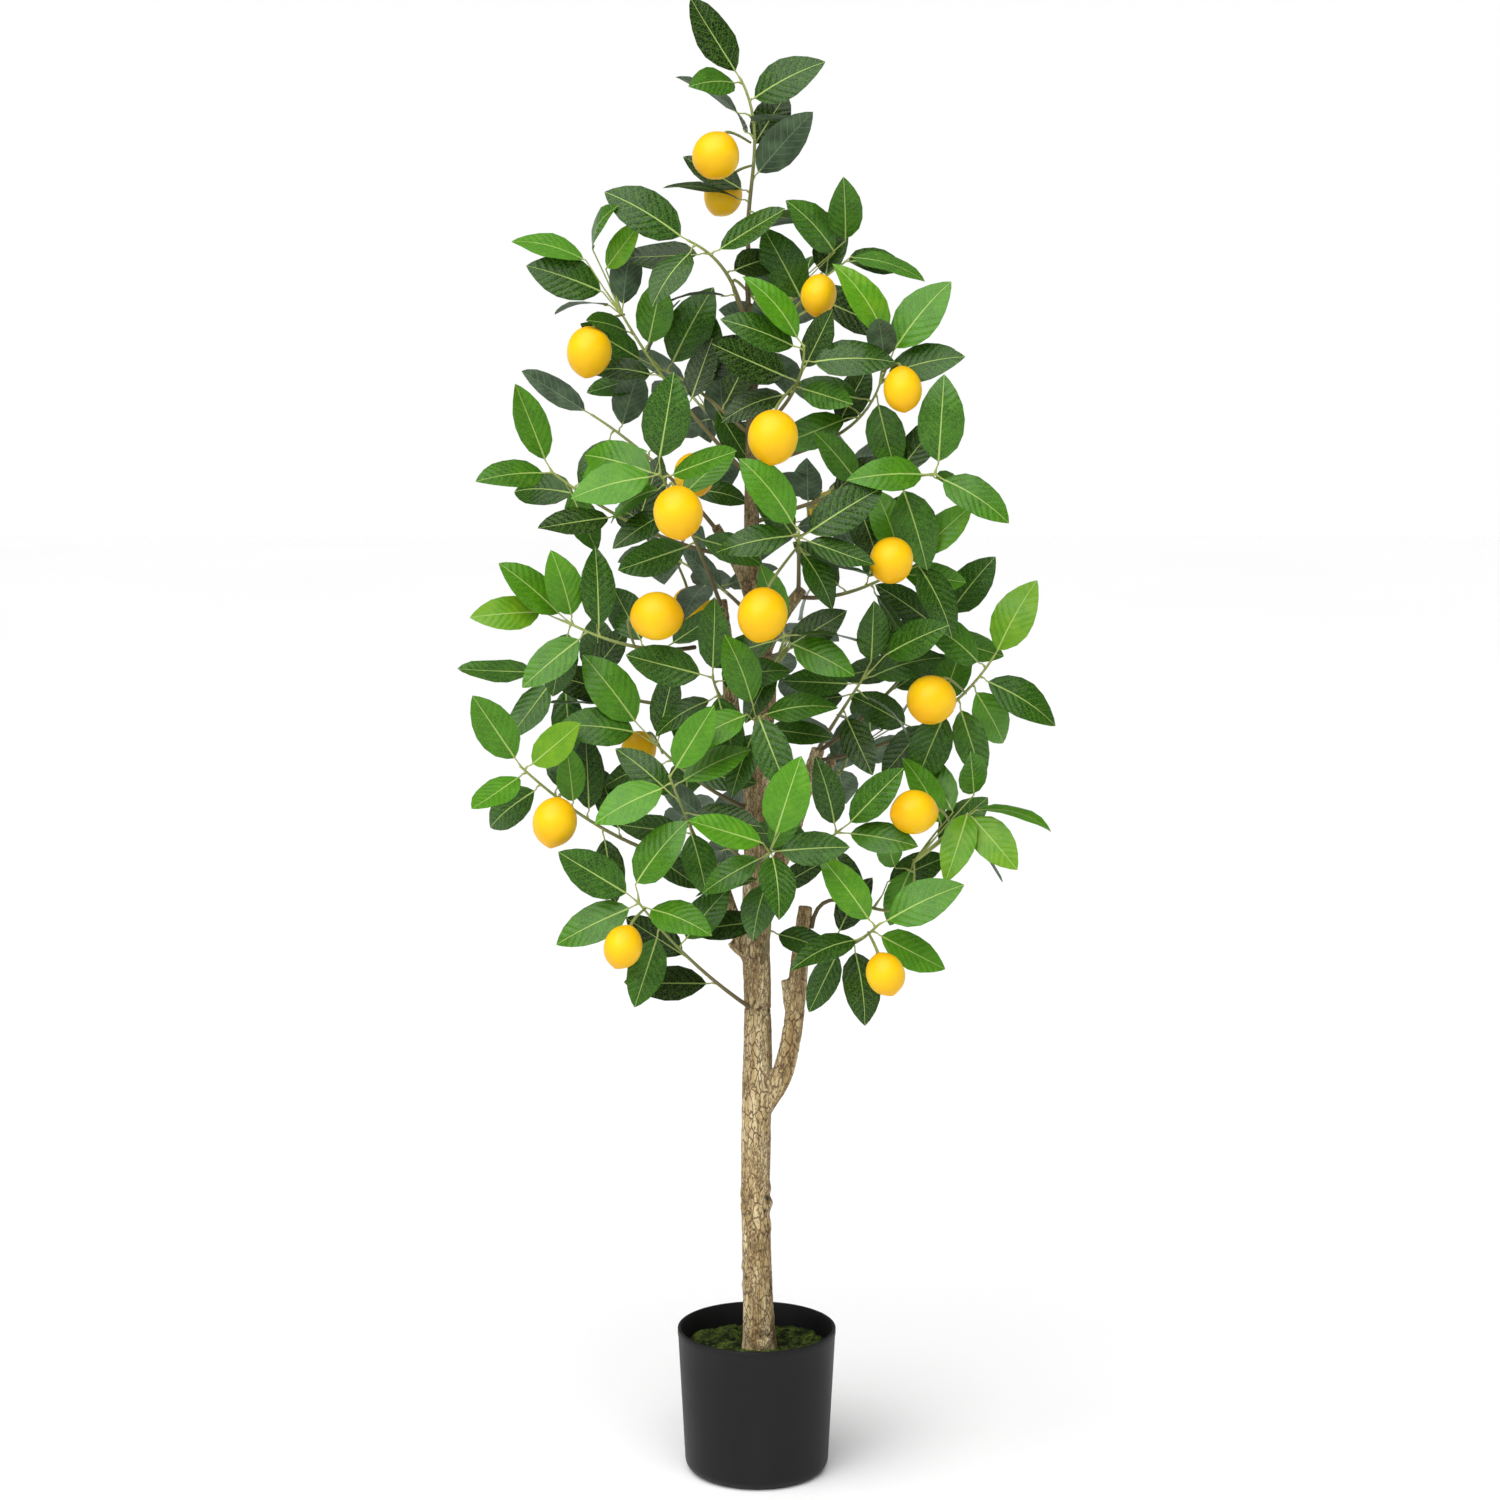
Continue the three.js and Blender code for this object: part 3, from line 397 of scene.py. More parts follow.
def barkMaterial(look):
    # Citrus bark: dry corky plates some 8 mm wide split into 3 mm flakes, pale tan with dark brown cracks
    material, tree, shader = newMaterial("citrusTrunkBark", {"IOR": 1.4, "Roughness": 0.85})
    place = addNode(tree, "TexCoord")
    stretch = addNode(tree, "Mapping", {"Scale": (1.0, 1.0, 0.42)}, {"Vector": place.outputs["Object"]})
    streakMap = addNode(tree, "Mapping", {"Scale": (1.0, 1.0, 0.12)}, {"Vector": place.outputs["Object"]})
    wobble = addNode(tree, "TexNoise", {"Scale": 160.0, "Detail": 2.0}, {"Vector": stretch.outputs[0]})
    bent = addNode(tree, "VectorMath", {"operation": "MULTIPLY_ADD", 1: (0.006,) * 3},
                   {0: wobble.outputs["Color"], 2: stretch.outputs[0]})
    patch = addNode(tree, "TexNoise", {"Scale": 30.0, "Detail": 3.0}, {"Vector": stretch.outputs[0]})
    cracks = []
    for size, width, low, high, deep in (("plate", 0.07, 0.38, 0.52, 1.0), ("flake", 0.1, 0.62, 0.46, 0.75)):
        plates = addNode(tree, "TexVoronoi", {"feature": "DISTANCE_TO_EDGE", "Scale": 1000 / look[size]},
                         {"Vector": bent.outputs[0]})
        line = addNode(tree, "MapRange", {
            "interpolation_type": "SMOOTHSTEP", 1: 0.0, 2: width, 3: deep, 4: 0.0},
            {0: plates.outputs["Distance"]})
        where = addNode(tree, "MapRange", {1: low, 2: high}, {0: patch.outputs[0]})
        cracks.append(addNode(tree, "Math", {"operation": "MULTIPLY"},
                              {0: line.outputs[0], 1: where.outputs[0]}).outputs[0])
    crackle = addNode(tree, "Math", {"operation": "MAXIMUM"}, {0: cracks[0], 1: cracks[1]})
    specks = addNode(tree, "TexNoise", {"Scale": 520.0, "Detail": 2.0}, {"Vector": stretch.outputs[0]})
    speck = addNode(tree, "MapRange", {
        "interpolation_type": "SMOOTHSTEP", 1: 0.55, 2: 0.66, 3: 0.0, 4: 0.85}, {0: specks.outputs[0]})
    marks = addNode(tree, "Math", {"operation": "MAXIMUM"}, {0: crackle.outputs[0], 1: speck.outputs[0]})
    streaks = addNode(tree, "TexNoise", {"Scale": 130.0, "Detail": 5.0}, {"Vector": streakMap.outputs[0]})
    ground = addNode(tree, "ValToRGB", links={0: streaks.outputs[0]}, stops=[
        (0.3, look["streak"]), (0.48, look["tan"]), (0.7, look["pale"])])
    # painted shade: the sunken fissures, scar eyes and cuts take the darkest brown, partly the bark's darker
    # inside and partly shade in the recesses
    depth = addNode(tree, "Attribute", {"attribute_name": "grooveAndShade"})
    fissure = addNode(tree, "MapRange", {1: 0.25, 2: 0.85, 3: 0.0, 4: 0.92}, {0: depth.outputs["Fac"]})
    withCrackle = addNode(tree, "Mix", {"data_type": "RGBA", 7: toLinear(look["crackle"])},
                          {0: marks.outputs[0], 6: ground.outputs[0]})
    height = addNode(tree, "SeparateXYZ", links={0: place.outputs["Object"]})
    upper = addNode(tree, "MapRange", {1: 0.78, 2: 1.1, 3: 0.0, 4: 0.9}, {0: height.outputs[2]})
    aged = addNode(tree, "Mix", {"data_type": "RGBA", 7: toLinear(look["upper"])},
                   {0: upper.outputs[0], 6: withCrackle.outputs[2]})
    colour = addNode(tree, "Mix", {"data_type": "RGBA", 7: toLinear(look["crackAndShade"])},
                     {0: fissure.outputs[0], 6: aged.outputs[2]})
    tree.links.new(colour.outputs[2], shader.inputs["Base Color"])
    raised = addNode(tree, "Math", {"operation": "MULTIPLY_ADD", 1: -1.6},
                     {0: marks.outputs[0], 2: streaks.outputs[0]})
    bump = addNode(tree, "Bump", {"Strength": 0.8, "Distance": 0.8 * mm}, {"Height": raised.outputs[0]})
    tree.links.new(bump.outputs[0], shader.inputs["Normal"])
    return material


# the deep orange is painted shade at the fruit's ends and the pale yellow painted light round its middle
peelLook = {"pore": 1.6, "yellow": "#E6B400", "deep": "#DA9600", "pale": "#EFC204"}


def peelMaterial(look):
    # Lemon peel: thick waxed rind with oil pores about 1.6 mm apart, so a satin gloss over shallow dimples
    material, tree, shader = newMaterial("lemonPeelWaxed", {
        "IOR": 1.45, "Specular IOR Level": 0.3, "Roughness": 0.42, "Subsurface Weight": 0.1,
        "Subsurface Radius": (0.9, 0.5, 0.1), "Subsurface Scale": 3 * mm})
    place = addNode(tree, "TexCoord")
    # painted shade: this attribute makes the peel deep orange towards both ends of the fruit and pale round
    # its middle
    endShadeLevel = addNode(tree, "Attribute", {"attribute_name": "paintedEndShade"})
    blotch = addNode(tree, "TexNoise", {"Scale": 38.0, "Detail": 3.0}, {"Vector": place.outputs["Object"]})
    level = addNode(tree, "Math", {"operation": "MULTIPLY_ADD", 1: 0.35},
                    {0: blotch.outputs[0], 2: endShadeLevel.outputs["Fac"]})
    colour = addNode(tree, "ValToRGB", links={0: level.outputs[0]}, stops=[
        (0.15, look["deep"]), (0.6, look["yellow"]), (1.0, look["pale"])])
    tree.links.new(colour.outputs[0], shader.inputs["Base Color"])
    pores = addNode(tree, "TexVoronoi", {"Scale": 1000 / look["pore"], "Randomness": 0.9},
                    {"Vector": place.outputs["Object"]})
    dimples = addNode(tree, "MapRange", {"interpolation_type": "SMOOTHSTEP", 1: 0.0, 2: 0.45},
                      {0: pores.outputs["Distance"]})
    bump = addNode(tree, "Bump", {"Strength": 0.12, "Distance": 0.25 * mm}, {"Height": dimples.outputs[0]})
    tree.links.new(bump.outputs[0], shader.inputs["Normal"])
    return material


def potMaterial():
    # Moulded polypropylene nursery pot: near-black, matt, with a fine moulded grain and faint flow marks
    material, tree, shader = newMaterial("mouldedBlackPolypropylene", {
        "IOR": 1.49, "Specular IOR Level": 0.22})
    place = addNode(tree, "TexCoord")
    around = addNode(tree, "Mapping", {"Scale": (1.0, 1.0, 0.25)}, {"Vector": place.outputs["Object"]})
    flow = addNode(tree, "TexNoise", {"Scale": 22.0, "Detail": 3.0}, {"Vector": around.outputs[0]})
    colour = addNode(tree, "ValToRGB", links={0: flow.outputs[0]}, stops=[
        (0.3, "#0D0D0E"), (0.75, "#151515")])
    tree.links.new(colour.outputs[0], shader.inputs["Base Color"])
    rough = addNode(tree, "MapRange", {1: 0.3, 2: 0.7, 3: 0.46, 4: 0.56}, {0: flow.outputs[0]})
    tree.links.new(rough.outputs[0], shader.inputs["Roughness"])
    grain = addNode(tree, "TexNoise", {"Scale": 1400.0, "Detail": 2.0}, {"Vector": place.outputs["Object"]})
    bump = addNode(tree, "Bump", {"Strength": 0.15, "Distance": 0.12 * mm}, {"Height": grain.outputs[0]})
    tree.links.new(bump.outputs[0], shader.inputs["Normal"])
    return material


def mossMaterial():
    # Preserved cushion moss: soft and matt, olive green where it rises and nearly black lower down, partly
    # the moss's own darker base and partly painted shade in the hollows
    material, tree, shader = newMaterial("preservedCushionMoss", {
        "Roughness": 0.95, "Specular IOR Level": 0.15})
    place = addNode(tree, "TexCoord")
    tipsAndHollowShade = addNode(tree, "Attribute", {"attribute_name": "tip"})
    clumps = addNode(tree, "TexNoise", {"Scale": 75.0, "Detail": 4.0}, {"Vector": place.outputs["Object"]})
    fibres = addNode(tree, "TexNoise", {"Scale": 900.0, "Detail": 3.0}, {"Vector": place.outputs["Object"]})
    level = addNode(tree, "Math", {"operation": "MULTIPLY_ADD", 1: 0.6},
                    {0: tipsAndHollowShade.outputs["Fac"], 2: clumps.outputs[0]})
    mixed = addNode(tree, "Math", {"operation": "MULTIPLY_ADD", 1: 0.4},
                    {0: fibres.outputs[0], 2: level.outputs[0]})
    colour = addNode(tree, "ValToRGB", links={0: mixed.outputs[0]}, stops=[
        (0.6, "#0A0F03"), (0.8, "#273311"), (1.0, "#606E2C")])
    tree.links.new(colour.outputs[0], shader.inputs["Base Color"])
    bump = addNode(tree, "Bump", {"Strength": 0.8, "Distance": mm}, {"Height": fibres.outputs[0]})
    tree.links.new(bump.outputs[0], shader.inputs["Normal"])
    return material


def soilMaterial():
    # Peat potting soil: crumbly, matt and dark brown with paler fibres
    material, tree, shader = newMaterial("peatPottingSoil", {"Roughness": 0.95})
    place = addNode(tree, "TexCoord")
    crumbs = addNode(tree, "TexVoronoi", {"Scale": 350.0}, {"Vector": place.outputs["Object"]})
    colour = addNode(tree, "ValToRGB", links={0: crumbs.outputs["Distance"]}, stops=[
        (0.0, "#4A3B2C"), (0.9, "#1C1510")])
    tree.links.new(colour.outputs[0], shader.inputs["Base Color"])
    bump = addNode(tree, "Bump", {"Strength": 0.8, "Distance": mm}, {"Height": crumbs.outputs["Distance"]})
    tree.links.new(bump.outputs[0], shader.inputs["Normal"])
    return material


leafTop = leafTopMaterial(leafLook)
leafBack = leafBackMaterial(leafLook)
twigBark = twigMaterial()
trunkBark = barkMaterial(barkLook)
peel = peelMaterial(peelLook)
potPlastic = potMaterial()
moss = mossMaterial()
soil = soilMaterial()
print("materials made")


# Leaves: six shapes of one unit's length, each copied to where the CAD holds a leaf

# how far along each row of points stands, and its share of the full width
leafRows = [(0.0, 0.0), (0.06, 0.36), (0.18, 0.77), (0.34, 0.98), (0.51, 1.0), (0.68, 0.86), (0.83, 0.57),
            (0.94, 0.25), (1.0, 0.0)]
leafShapes = [
    {"width": 0.50, "fold": 16, "arch": 0.045, "curl": -0.04, "wave": 0.012, "phase": 0.0, "tipTurn": 6},
    {"width": 0.54, "fold": 10, "arch": 0.065, "curl": -0.10, "wave": 0.016, "phase": 1.3, "tipTurn": -10},
    {"width": 0.46, "fold": 26, "arch": 0.030, "curl": 0.05, "wave": 0.010, "phase": 2.4, "tipTurn": 12},
    {"width": 0.56, "fold": 8, "arch": 0.060, "curl": -0.07, "wave": 0.020, "phase": 3.6, "tipTurn": -4},
    {"width": 0.45, "fold": 20, "arch": 0.080, "curl": -0.12, "wave": 0.012, "phase": 4.5, "tipTurn": 8},
    {"width": 0.52, "fold": 13, "arch": 0.025, "curl": 0.08, "wave": 0.022, "phase": 5.3, "tipTurn": -14},
]
leafThickness = 0.008  # of the length, at the middle
leafWeld = 0.0005


def leafHeight(x, y, shape):
    # a shallow V that softens outwards, arched along its length, with a wavy edge and a turned, curling tip
    half = shape["width"] / 2
    fold = tan(radians(shape["fold"])) * (abs(y) - 0.9 * y * y / half)
    arch = 4 * shape["arch"] * x * (1 - x) + shape["curl"] * x ** 3
    wave = shape["wave"] * sin(9 * x + shape["phase"] + (2.2 if y > 0 else 0)) * abs(y) / half
    turn = tan(radians(shape["tipTurn"])) * y * x * x
    return fold + arch + wave + turn


def makeLeaf(number, shape):
    startClean()
    rows = len(leafRows) - 1
    bpy.ops.mesh.primitive_grid_add(x_subdivisions=rows, y_subdivisions=4, size=1, location=(0.5, 0, 0))
    leaf = bpy.context.object
    leaf.name = "leafShape%d" % number
    bpy.ops.object.transform_apply(location=True, rotation=True, scale=True)
    for v in leaf.data.vertices:
        x, share = leafRows[round(v.co.x * rows)]
        y = v.co.y * shape["width"] * share
        v.co = (x, y, leafHeight(x, y, shape))
    uv = leaf.data.uv_layers[0]
    uv.name = "leafMap"
    for loop in leaf.data.loops:
        place = leaf.data.vertices[loop.vertex_index].co
        uv.data[loop.index].uv = (place.x, place.y)
    leaf.data.materials.append(leafTop)
    leaf.data.materials.append(leafBack)
    bpy.ops.object.mode_set(mode="EDIT")
    bpy.ops.mesh.select_all(action="SELECT")
    bpy.ops.mesh.duplicate()
    bpy.ops.mesh.flip_normals()
    leaf.active_material_index = 1
    bpy.ops.object.material_slot_assign()
    sheet = bmesh.from_edit_mesh(leaf.data)
    for v in sheet.verts:
        rim = any(edge.is_boundary for edge in v.link_edges)
        v.select_set(v.select and not rim)
    bmesh.update_edit_mesh(leaf.data)
    bpy.ops.transform.translate(value=(0, 0, -leafThickness))
    bpy.ops.mesh.select_all(action="SELECT")
    bpy.ops.mesh.remove_doubles(threshold=leafWeld)
    bpy.ops.object.mode_set(mode="OBJECT")
    smooth(leaf, 40)
    return leaf


leafModels = [makeLeaf(i, shape) for i, shape in enumerate(leafShapes)]
print("leaf shapes made:", [len(leaf.data.polygons) for leaf in leafModels])


# Shoots: each CAD shoot becomes a leafy piece and a twig piece

twigSizes = {"foot": 2.3, "tip": 1.2, "into": 4.0, "petioleFoot": 1.25, "petiole": 0.75, "petioleTop": 0.9}
# these settings paint the front and outside of the crown brighter and its inside and back darker, as painted
# light and shade, over the young leaves' lighter green and a random spread
leafToneAndPaintedLight = {
    "base": 0.08, "outward": 0.55, "crownRadius": 0.25,  # the radius is in metres
    "front": 0.25, "back": -0.2, "least": 0.2, "most": 1.1, "spread": (-0.22, 0.32),
}
leafRoll = 0.3  # radians that a leaf may turn on its own length
petioleLength = 11
draw = random.Random(7)


def nearestOn(line, place):
    steps = [k / 60 for k in range(61)]
    return min(steps, key=lambda t: (line(t) - place).length)


def growLeaves(name, leaves, line):
    # leaves near the twig's tip are lighter, as young leaves are; leaves at the outside and the front of the
    # crown are also painted brighter, and those inside and at the back painted darker, as painted light and
    # shade
    copies = []
    for leaf in leaves:
        root = leaf["base"] - leaf["along"] * petioleLength * mm
        leaf["root"] = nearestOn(line, root)
        model = leafModels[draw.randrange(len(leafModels))]
        copy = bpy.data.objects.new(name, model.data.copy())
        bpy.context.scene.collection.objects.link(copy)
        up = Matrix.Rotation(draw.uniform(-leafRoll, leafRoll), 3, leaf["along"]) @ leaf["up"]
        left = up.cross(leaf["along"])
        size = leaf["length"]
        copy.data.transform(Matrix((
            (*(leaf["along"] * size),), (*(left * size),), (*(up * size),))).transposed().to_4x4())
        copy.data.transform(Matrix.Translation(leaf["base"]))
        # painted light: the share grows outwards from the middle of the crown, is raised at the front and
        # lowered at the back
        out = leaf["base"].xy.length / leafToneAndPaintedLight["crownRadius"]
        out += leafToneAndPaintedLight["front"] if leaf["base"].y < 0 else leafToneAndPaintedLight["back"]
        out = min(leafToneAndPaintedLight["most"], max(leafToneAndPaintedLight["least"], out))
        tone = leafToneAndPaintedLight["base"] + leafToneAndPaintedLight["outward"] * leaf["root"] * out
        tone += draw.uniform(*leafToneAndPaintedLight["spread"])
        setTone(copy, "tone", [min(1.0, max(0.0, tone))] * len(copy.data.vertices))
        copies.append(copy)
    return joinUnder(name + "_leaves", copies)


def growTwig(name, leaves, line):
    # the twig starts inside its limb, and each petiole starts inside the twig and ends inside its leaf
    sizes = twigSizes
    start = -sizes["into"] * mm / (line(1) - line(0)).length
    spots = [start + (1.01 - start) * k / 18 for k in range(19)]
    main = [(*line(t), (sizes["foot"] + (sizes["tip"] - sizes["foot"]) * max(0, t)) * mm) for t in spots]
    stem = tubeMesh(name + "_twig", [main], 2)
    youth = []
    for v in stem.data.vertices:
        youth.append(min(1.0, 0.1 + 0.8 * nearestOn(line, v.co)))
    setTone(stem, "youth", youth)
    routes = []
    for leaf in leaves:
        foot = line(leaf["root"])
        base = leaf["base"] + leaf["up"] * 0.1 * mm
        inside = leaf["base"] + leaf["along"] * 5 * mm
        middle = (foot + base) / 2 + (line(min(1, leaf["root"] + 0.05)) - foot).normalized() * 1.2 * mm
        points = [foot, foot.lerp(middle, 0.5), middle, base - leaf["along"] * 2 * mm, base, inside]
        radii = [sizes["petioleFoot"] * 1.2, sizes["petioleFoot"], sizes["petiole"], sizes["petiole"],
                 sizes["petioleTop"], 0.35]
        routes.append([(*p, r * mm) for p, r in zip(points, radii)])
    stalks = tubeMesh(name + "_petioles", routes, 1)
    setTone(stalks, "youth", [0.92] * len(stalks.data.vertices))
    twig = joinUnder(name + "_twig", [stem, stalks])
    twig.data.materials.append(twigBark)
    smooth(twig, 60)
    return twig


leafCount = 0
for nodeName in sorted(n for n in nodes if n.endswith("_shoot")):
    leaves, line = readShoot(nodes[nodeName])
    leafCount += len(leaves)
    placePiece(growLeaves(nodeName, leaves, line), "leaf", nodeName)
    placePiece(growTwig(nodeName, leaves, line), "twig", nodeName)
for model in leafModels:
    bpy.data.objects.remove(model)
print("shoots grown, leaves:", leafCount)


# Trunk and limbs: routes of points in millimetres with a radius at each, fused and given bark

limbs = {
    "trunk": ([(3, 0, 100), (3, 0, 125), (2, 0, 160), (0, 0, 235), (-1, 0, 310), (0, 0, 395), (1, 0, 490),
               (-1, 0, 575), (0, 0, 655), (0, 0, 720), (5, 0, 770), (10, 0, 820), (5, 0, 870), (0, 0, 920),
               (-5, 0, 975), (-5, 0, 1035), (-5, 0, 1115), (-8, 0, 1180), (-10, 0, 1260)],
              [19.5, 19.5, 16.5, 15.5, 15.3, 15.7, 14.5, 14.5, 13.5, 13, 10.8, 10, 9.5, 9, 8, 7.5, 6, 3.6,
               2.6]),
    "rightLow": ([(2, 0, 380), (24, -8, 418), (35, -10, 460), (40, -5, 500), (45, 0, 550), (50, 5, 597)],
                 [11, 11, 10.5, 10, 9, 7.5]),
    "rightStub": ([(39, -8, 474), (33, -6, 499), (29, -5, 522)], [7, 6, 4.5]),
    "rightMid": ([(3, 4, 585), (20, 24, 630), (35, 30, 665), (50, 30, 715), (63, 26, 757)],
                 [9, 9, 8.5, 8, 7]),
    "rightMidStub": ([(48, 30, 708), (66, 31, 725), (79, 30, 745)], [6, 5.5, 4.5]),
    "leftLow": ([(-2, 0, 535), (-24, 8, 580), (-35, 15, 612), (-42, 16, 638)], [9.5, 9, 8.5, 7.5]),
    "leftLowStub": ([(-12, 2, 548), (-22, 0, 554), (-28, -2, 560)], [6, 4.5, 3]),
    "leftMid": ([(0, 0, 700), (-15, 0, 752), (-25, 0, 800), (-30, 0, 860), (-36, 5, 912)],
                [9.5, 8.5, 8, 7, 6]),
    "leftHigh": ([(0, 0, 895), (-15, 0, 938), (-30, 5, 965), (-42, 10, 986)], [7, 6.5, 6, 5]),
    "rightHigh": ([(5, 0, 855), (25, -5, 895), (46, -8, 924)], [7.5, 7, 6]),
}
bark = {
    "voxel": 1.4, "plate": 9.0, "relief": 1.7, "lump": 1.1, "lumpSize": 34, "ripple": 0.5, "rippleSize": 15,
    "sway": 5, "swaySize": 11, "patchSize": 28, "grain": 0.3, "grainSize": 2.4,
    "thinFrom": 1.25, "thinOver": 0.6, "thinLeast": 0.25,  # relief fades up the leader, metres and a share
}


def barkRelief(place):
    # long fissures and cross cracks between corky plates, over slow lumps; returns the move and the share
    # that darkens the colour in the fissures, partly the bark's dark inside and partly painted shade
    p = place / mm
    slow = noise.noise(p / bark["lumpSize"]) * bark["lump"]
    slow += noise.noise(p / bark["rippleSize"]) * bark["ripple"]
    sway = noise.noise(p / bark["swaySize"]) * bark["sway"]
    upright = Vector((p.x + sway, p.y + sway, p.z * 0.2)) / bark["plate"]
    fissure = max(0.0, 1 - abs(noise.noise(upright * 1.5)) * 6) ** 1.3
    flat = Vector((p.x * 0.4, p.y * 0.4, p.z + sway)) / bark["plate"]
    cross = max(0.0, 1 - abs(noise.noise(flat * 0.8 + Vector((9, 3, 5)))) * 9) ** 2
    patch = min(1.0, max(0.0, 0.55 + 1.8 * noise.noise(p / bark["patchSize"] + Vector((3, 7, 1)))))
    grooveAndShade = min(1.0, (fissure * 0.9 + cross * 0.5) * patch)
    fine = noise.noise(Vector((p.x, p.y, p.z * 0.35)) / bark["grainSize"]) * bark["grain"]
    return slow * 0.5 + fine - grooveAndShade * bark["relief"], grooveAndShade * 0.8


scars = [
    # height, sideways place on the front, rise, across, up and down
    (146, 4, 1.8, 9, 9), (321, 1, 1.3, 4, 6), (293, 11, 1.5, 6, 9), (207, -12, 1.0, 7, 10),
    (272, 15, 1.2, 5, 12), (288, -13, 0.9, 5, 9), (560, 4, 1.4, 5, 6),
]
cuts = [
    # thin dark lines on the front: sideways place and height of both ends, then the depth
    (-16, 493, 18, 491, 1.3), (27, 475, 46, 473, 1.0), (9, 392, 10, 421, 1.4), (8, 423, 27, 424, 1.2),
    (-8, 376, 10, 377, 0.8), (-4, 236, 12, 238, 0.9), (2, 200, 3, 236, 1.0), (24, 410, 33, 432, 0.9),
]


def frontMarks(place):
    # a raised ring round a sunken eye where a branch was lost, and cuts; returns the move and the share that
    # darkens the eye, the foot of the ring and the cuts, partly their own dark colour and partly painted
    # shade
    x, z = place.x / mm, place.z / mm
    move, dark = 0.0, 0.0
    if place.y > 6 * mm:
        return move, dark
    for height, across, rise, wide, tall in scars:
        away = (((x - across) / wide) ** 2 + ((z - height) / tall) ** 2) ** 0.5
        if away < 3:
            ring, eye = exp(-((away - 1) * 2.2) ** 2), exp(-(away * 2.4) ** 2)
            move += rise * ring - rise * 0.9 * eye
            dark += 0.8 * eye + 0.5 * exp(-((away - 1.55) * 4) ** 2)
    for x1, z1, x2, z2, depth in cuts:
        along = ((x - x1) * (x2 - x1) + (z - z1) * (z2 - z1)) / ((x2 - x1) ** 2 + (z2 - z1) ** 2)
        along = min(1, max(0, along))
        across, rise = x - x1 - (x2 - x1) * along - sin(z / 4), z - z1 - (z2 - z1) * along - sin(x / 3)
        line = exp(-(across ** 2 + rise ** 2) / 1.8)
        move -= depth * line
        dark += 0.6 * line
    return move, min(1.0, dark)


def makeTrunk():
    tubes = []
    for name, (points, radii) in limbs.items():
        fine = smoothRoute([Vector(p) * mm for p in points], [r * mm for r in radii], 6)
        tubes.append(tubeMesh(name, [[tuple(row) for row in fine]], 5))
    trunk = joinUnder("trunk_bark", tubes)
    fuse = trunk.modifiers.new("fuse", "REMESH")
    fuse.mode = "VOXEL"
    fuse.voxel_size = bark["voxel"] * mm
    fillet = trunk.modifiers.new("fillet", "SMOOTH")
    fillet.factor = 0.5
    fillet.iterations = 3
    applyModifiers(trunk)
    grooveShades = []
    moved = []
    for v in trunk.data.vertices:
        relief, grooveAndShade = barkRelief(v.co)
        mark, dark = frontMarks(v.co)
        thin = min(1.0, max(bark["thinLeast"], (bark["thinFrom"] - v.co.z) / bark["thinOver"]))
        moved.append(v.co + v.normal * (relief * thin + mark) * mm)
        grooveShades.append(max(grooveAndShade, dark))
    trunk.data.vertices.foreach_set("co", [c for place in moved for c in place])
    # painted shade: this share darkens the bark's colour in its recesses
    setTone(trunk, "grooveAndShade", grooveShades)
    trunk.data.materials.append(trunkBark)
    smooth(trunk)
    return trunk


trunk = makeTrunk()
placePiece(trunk, "bark", "trunk")
print("trunk made, faces:", len(trunk.data.polygons))


# Lemons: one fruit modelled, copied to each CAD lemon with its own swelling, stalk and calyx

lemonLook = {
    "rings": 20, "around": 32,
    "nipple": 0.032, "neck": 0.02, "dimple": 0.03, "swell": 0.018,  # on a fruit of size 1
    "calyx": 8, "stalk": 1.5, "bend": 9, "into": 5,
}


def makeFruit(look):
    # a ball drawn out to a blossom tip below and a short neck with a dimple above
    startClean()
    bpy.ops.mesh.primitive_uv_sphere_add(segments=look["around"], ring_count=look["rings"], radius=0.5)
    fruit = bpy.context.object
    fruit.name = "lemonShape"
    bpy.ops.object.mode_set(mode="EDIT")
    bpy.ops.mesh.select_all(action="SELECT")
    bpy.ops.transform.resize(value=(1, 1, 0.92))
    pickPoints(lambda c: c.z < -0.455)
    bpy.ops.transform.translate(value=(0, 0, -look["nipple"]), use_proportional_edit=True,
                                proportional_edit_falloff="SHARP", proportional_size=0.26)
    pickPoints(lambda c: c.z > 0.455)
    bpy.ops.transform.translate(value=(0, 0, look["neck"]), use_proportional_edit=True,
                                proportional_edit_falloff="SHARP", proportional_size=0.3)
    pickPoints(lambda c: c.z > 0.485)
    bpy.ops.transform.translate(value=(0, 0, -look["dimple"]))
    bpy.ops.object.mode_set(mode="OBJECT")
    smooth(fruit)
    return fruit


def makeCalyx():
    # a five-lobed cap under the stalk
    startClean()
    bpy.ops.mesh.primitive_cone_add(vertices=20, radius1=0.5, radius2=0.18, depth=0.22,
                                    location=(0, 0, 0.11))
    calyx = bpy.context.object
    calyx.name = "calyxShape"
    bpy.ops.object.transform_apply(location=True, rotation=True, scale=True)
    for v in calyx.data.vertices:
        if v.co.z < 0.05:
            lobe = 0.75 + 0.25 * cos(5 * atan2(v.co.y, v.co.x))
            v.co.x *= lobe
            v.co.y *= lobe
    smooth(calyx, 50)
    return calyx


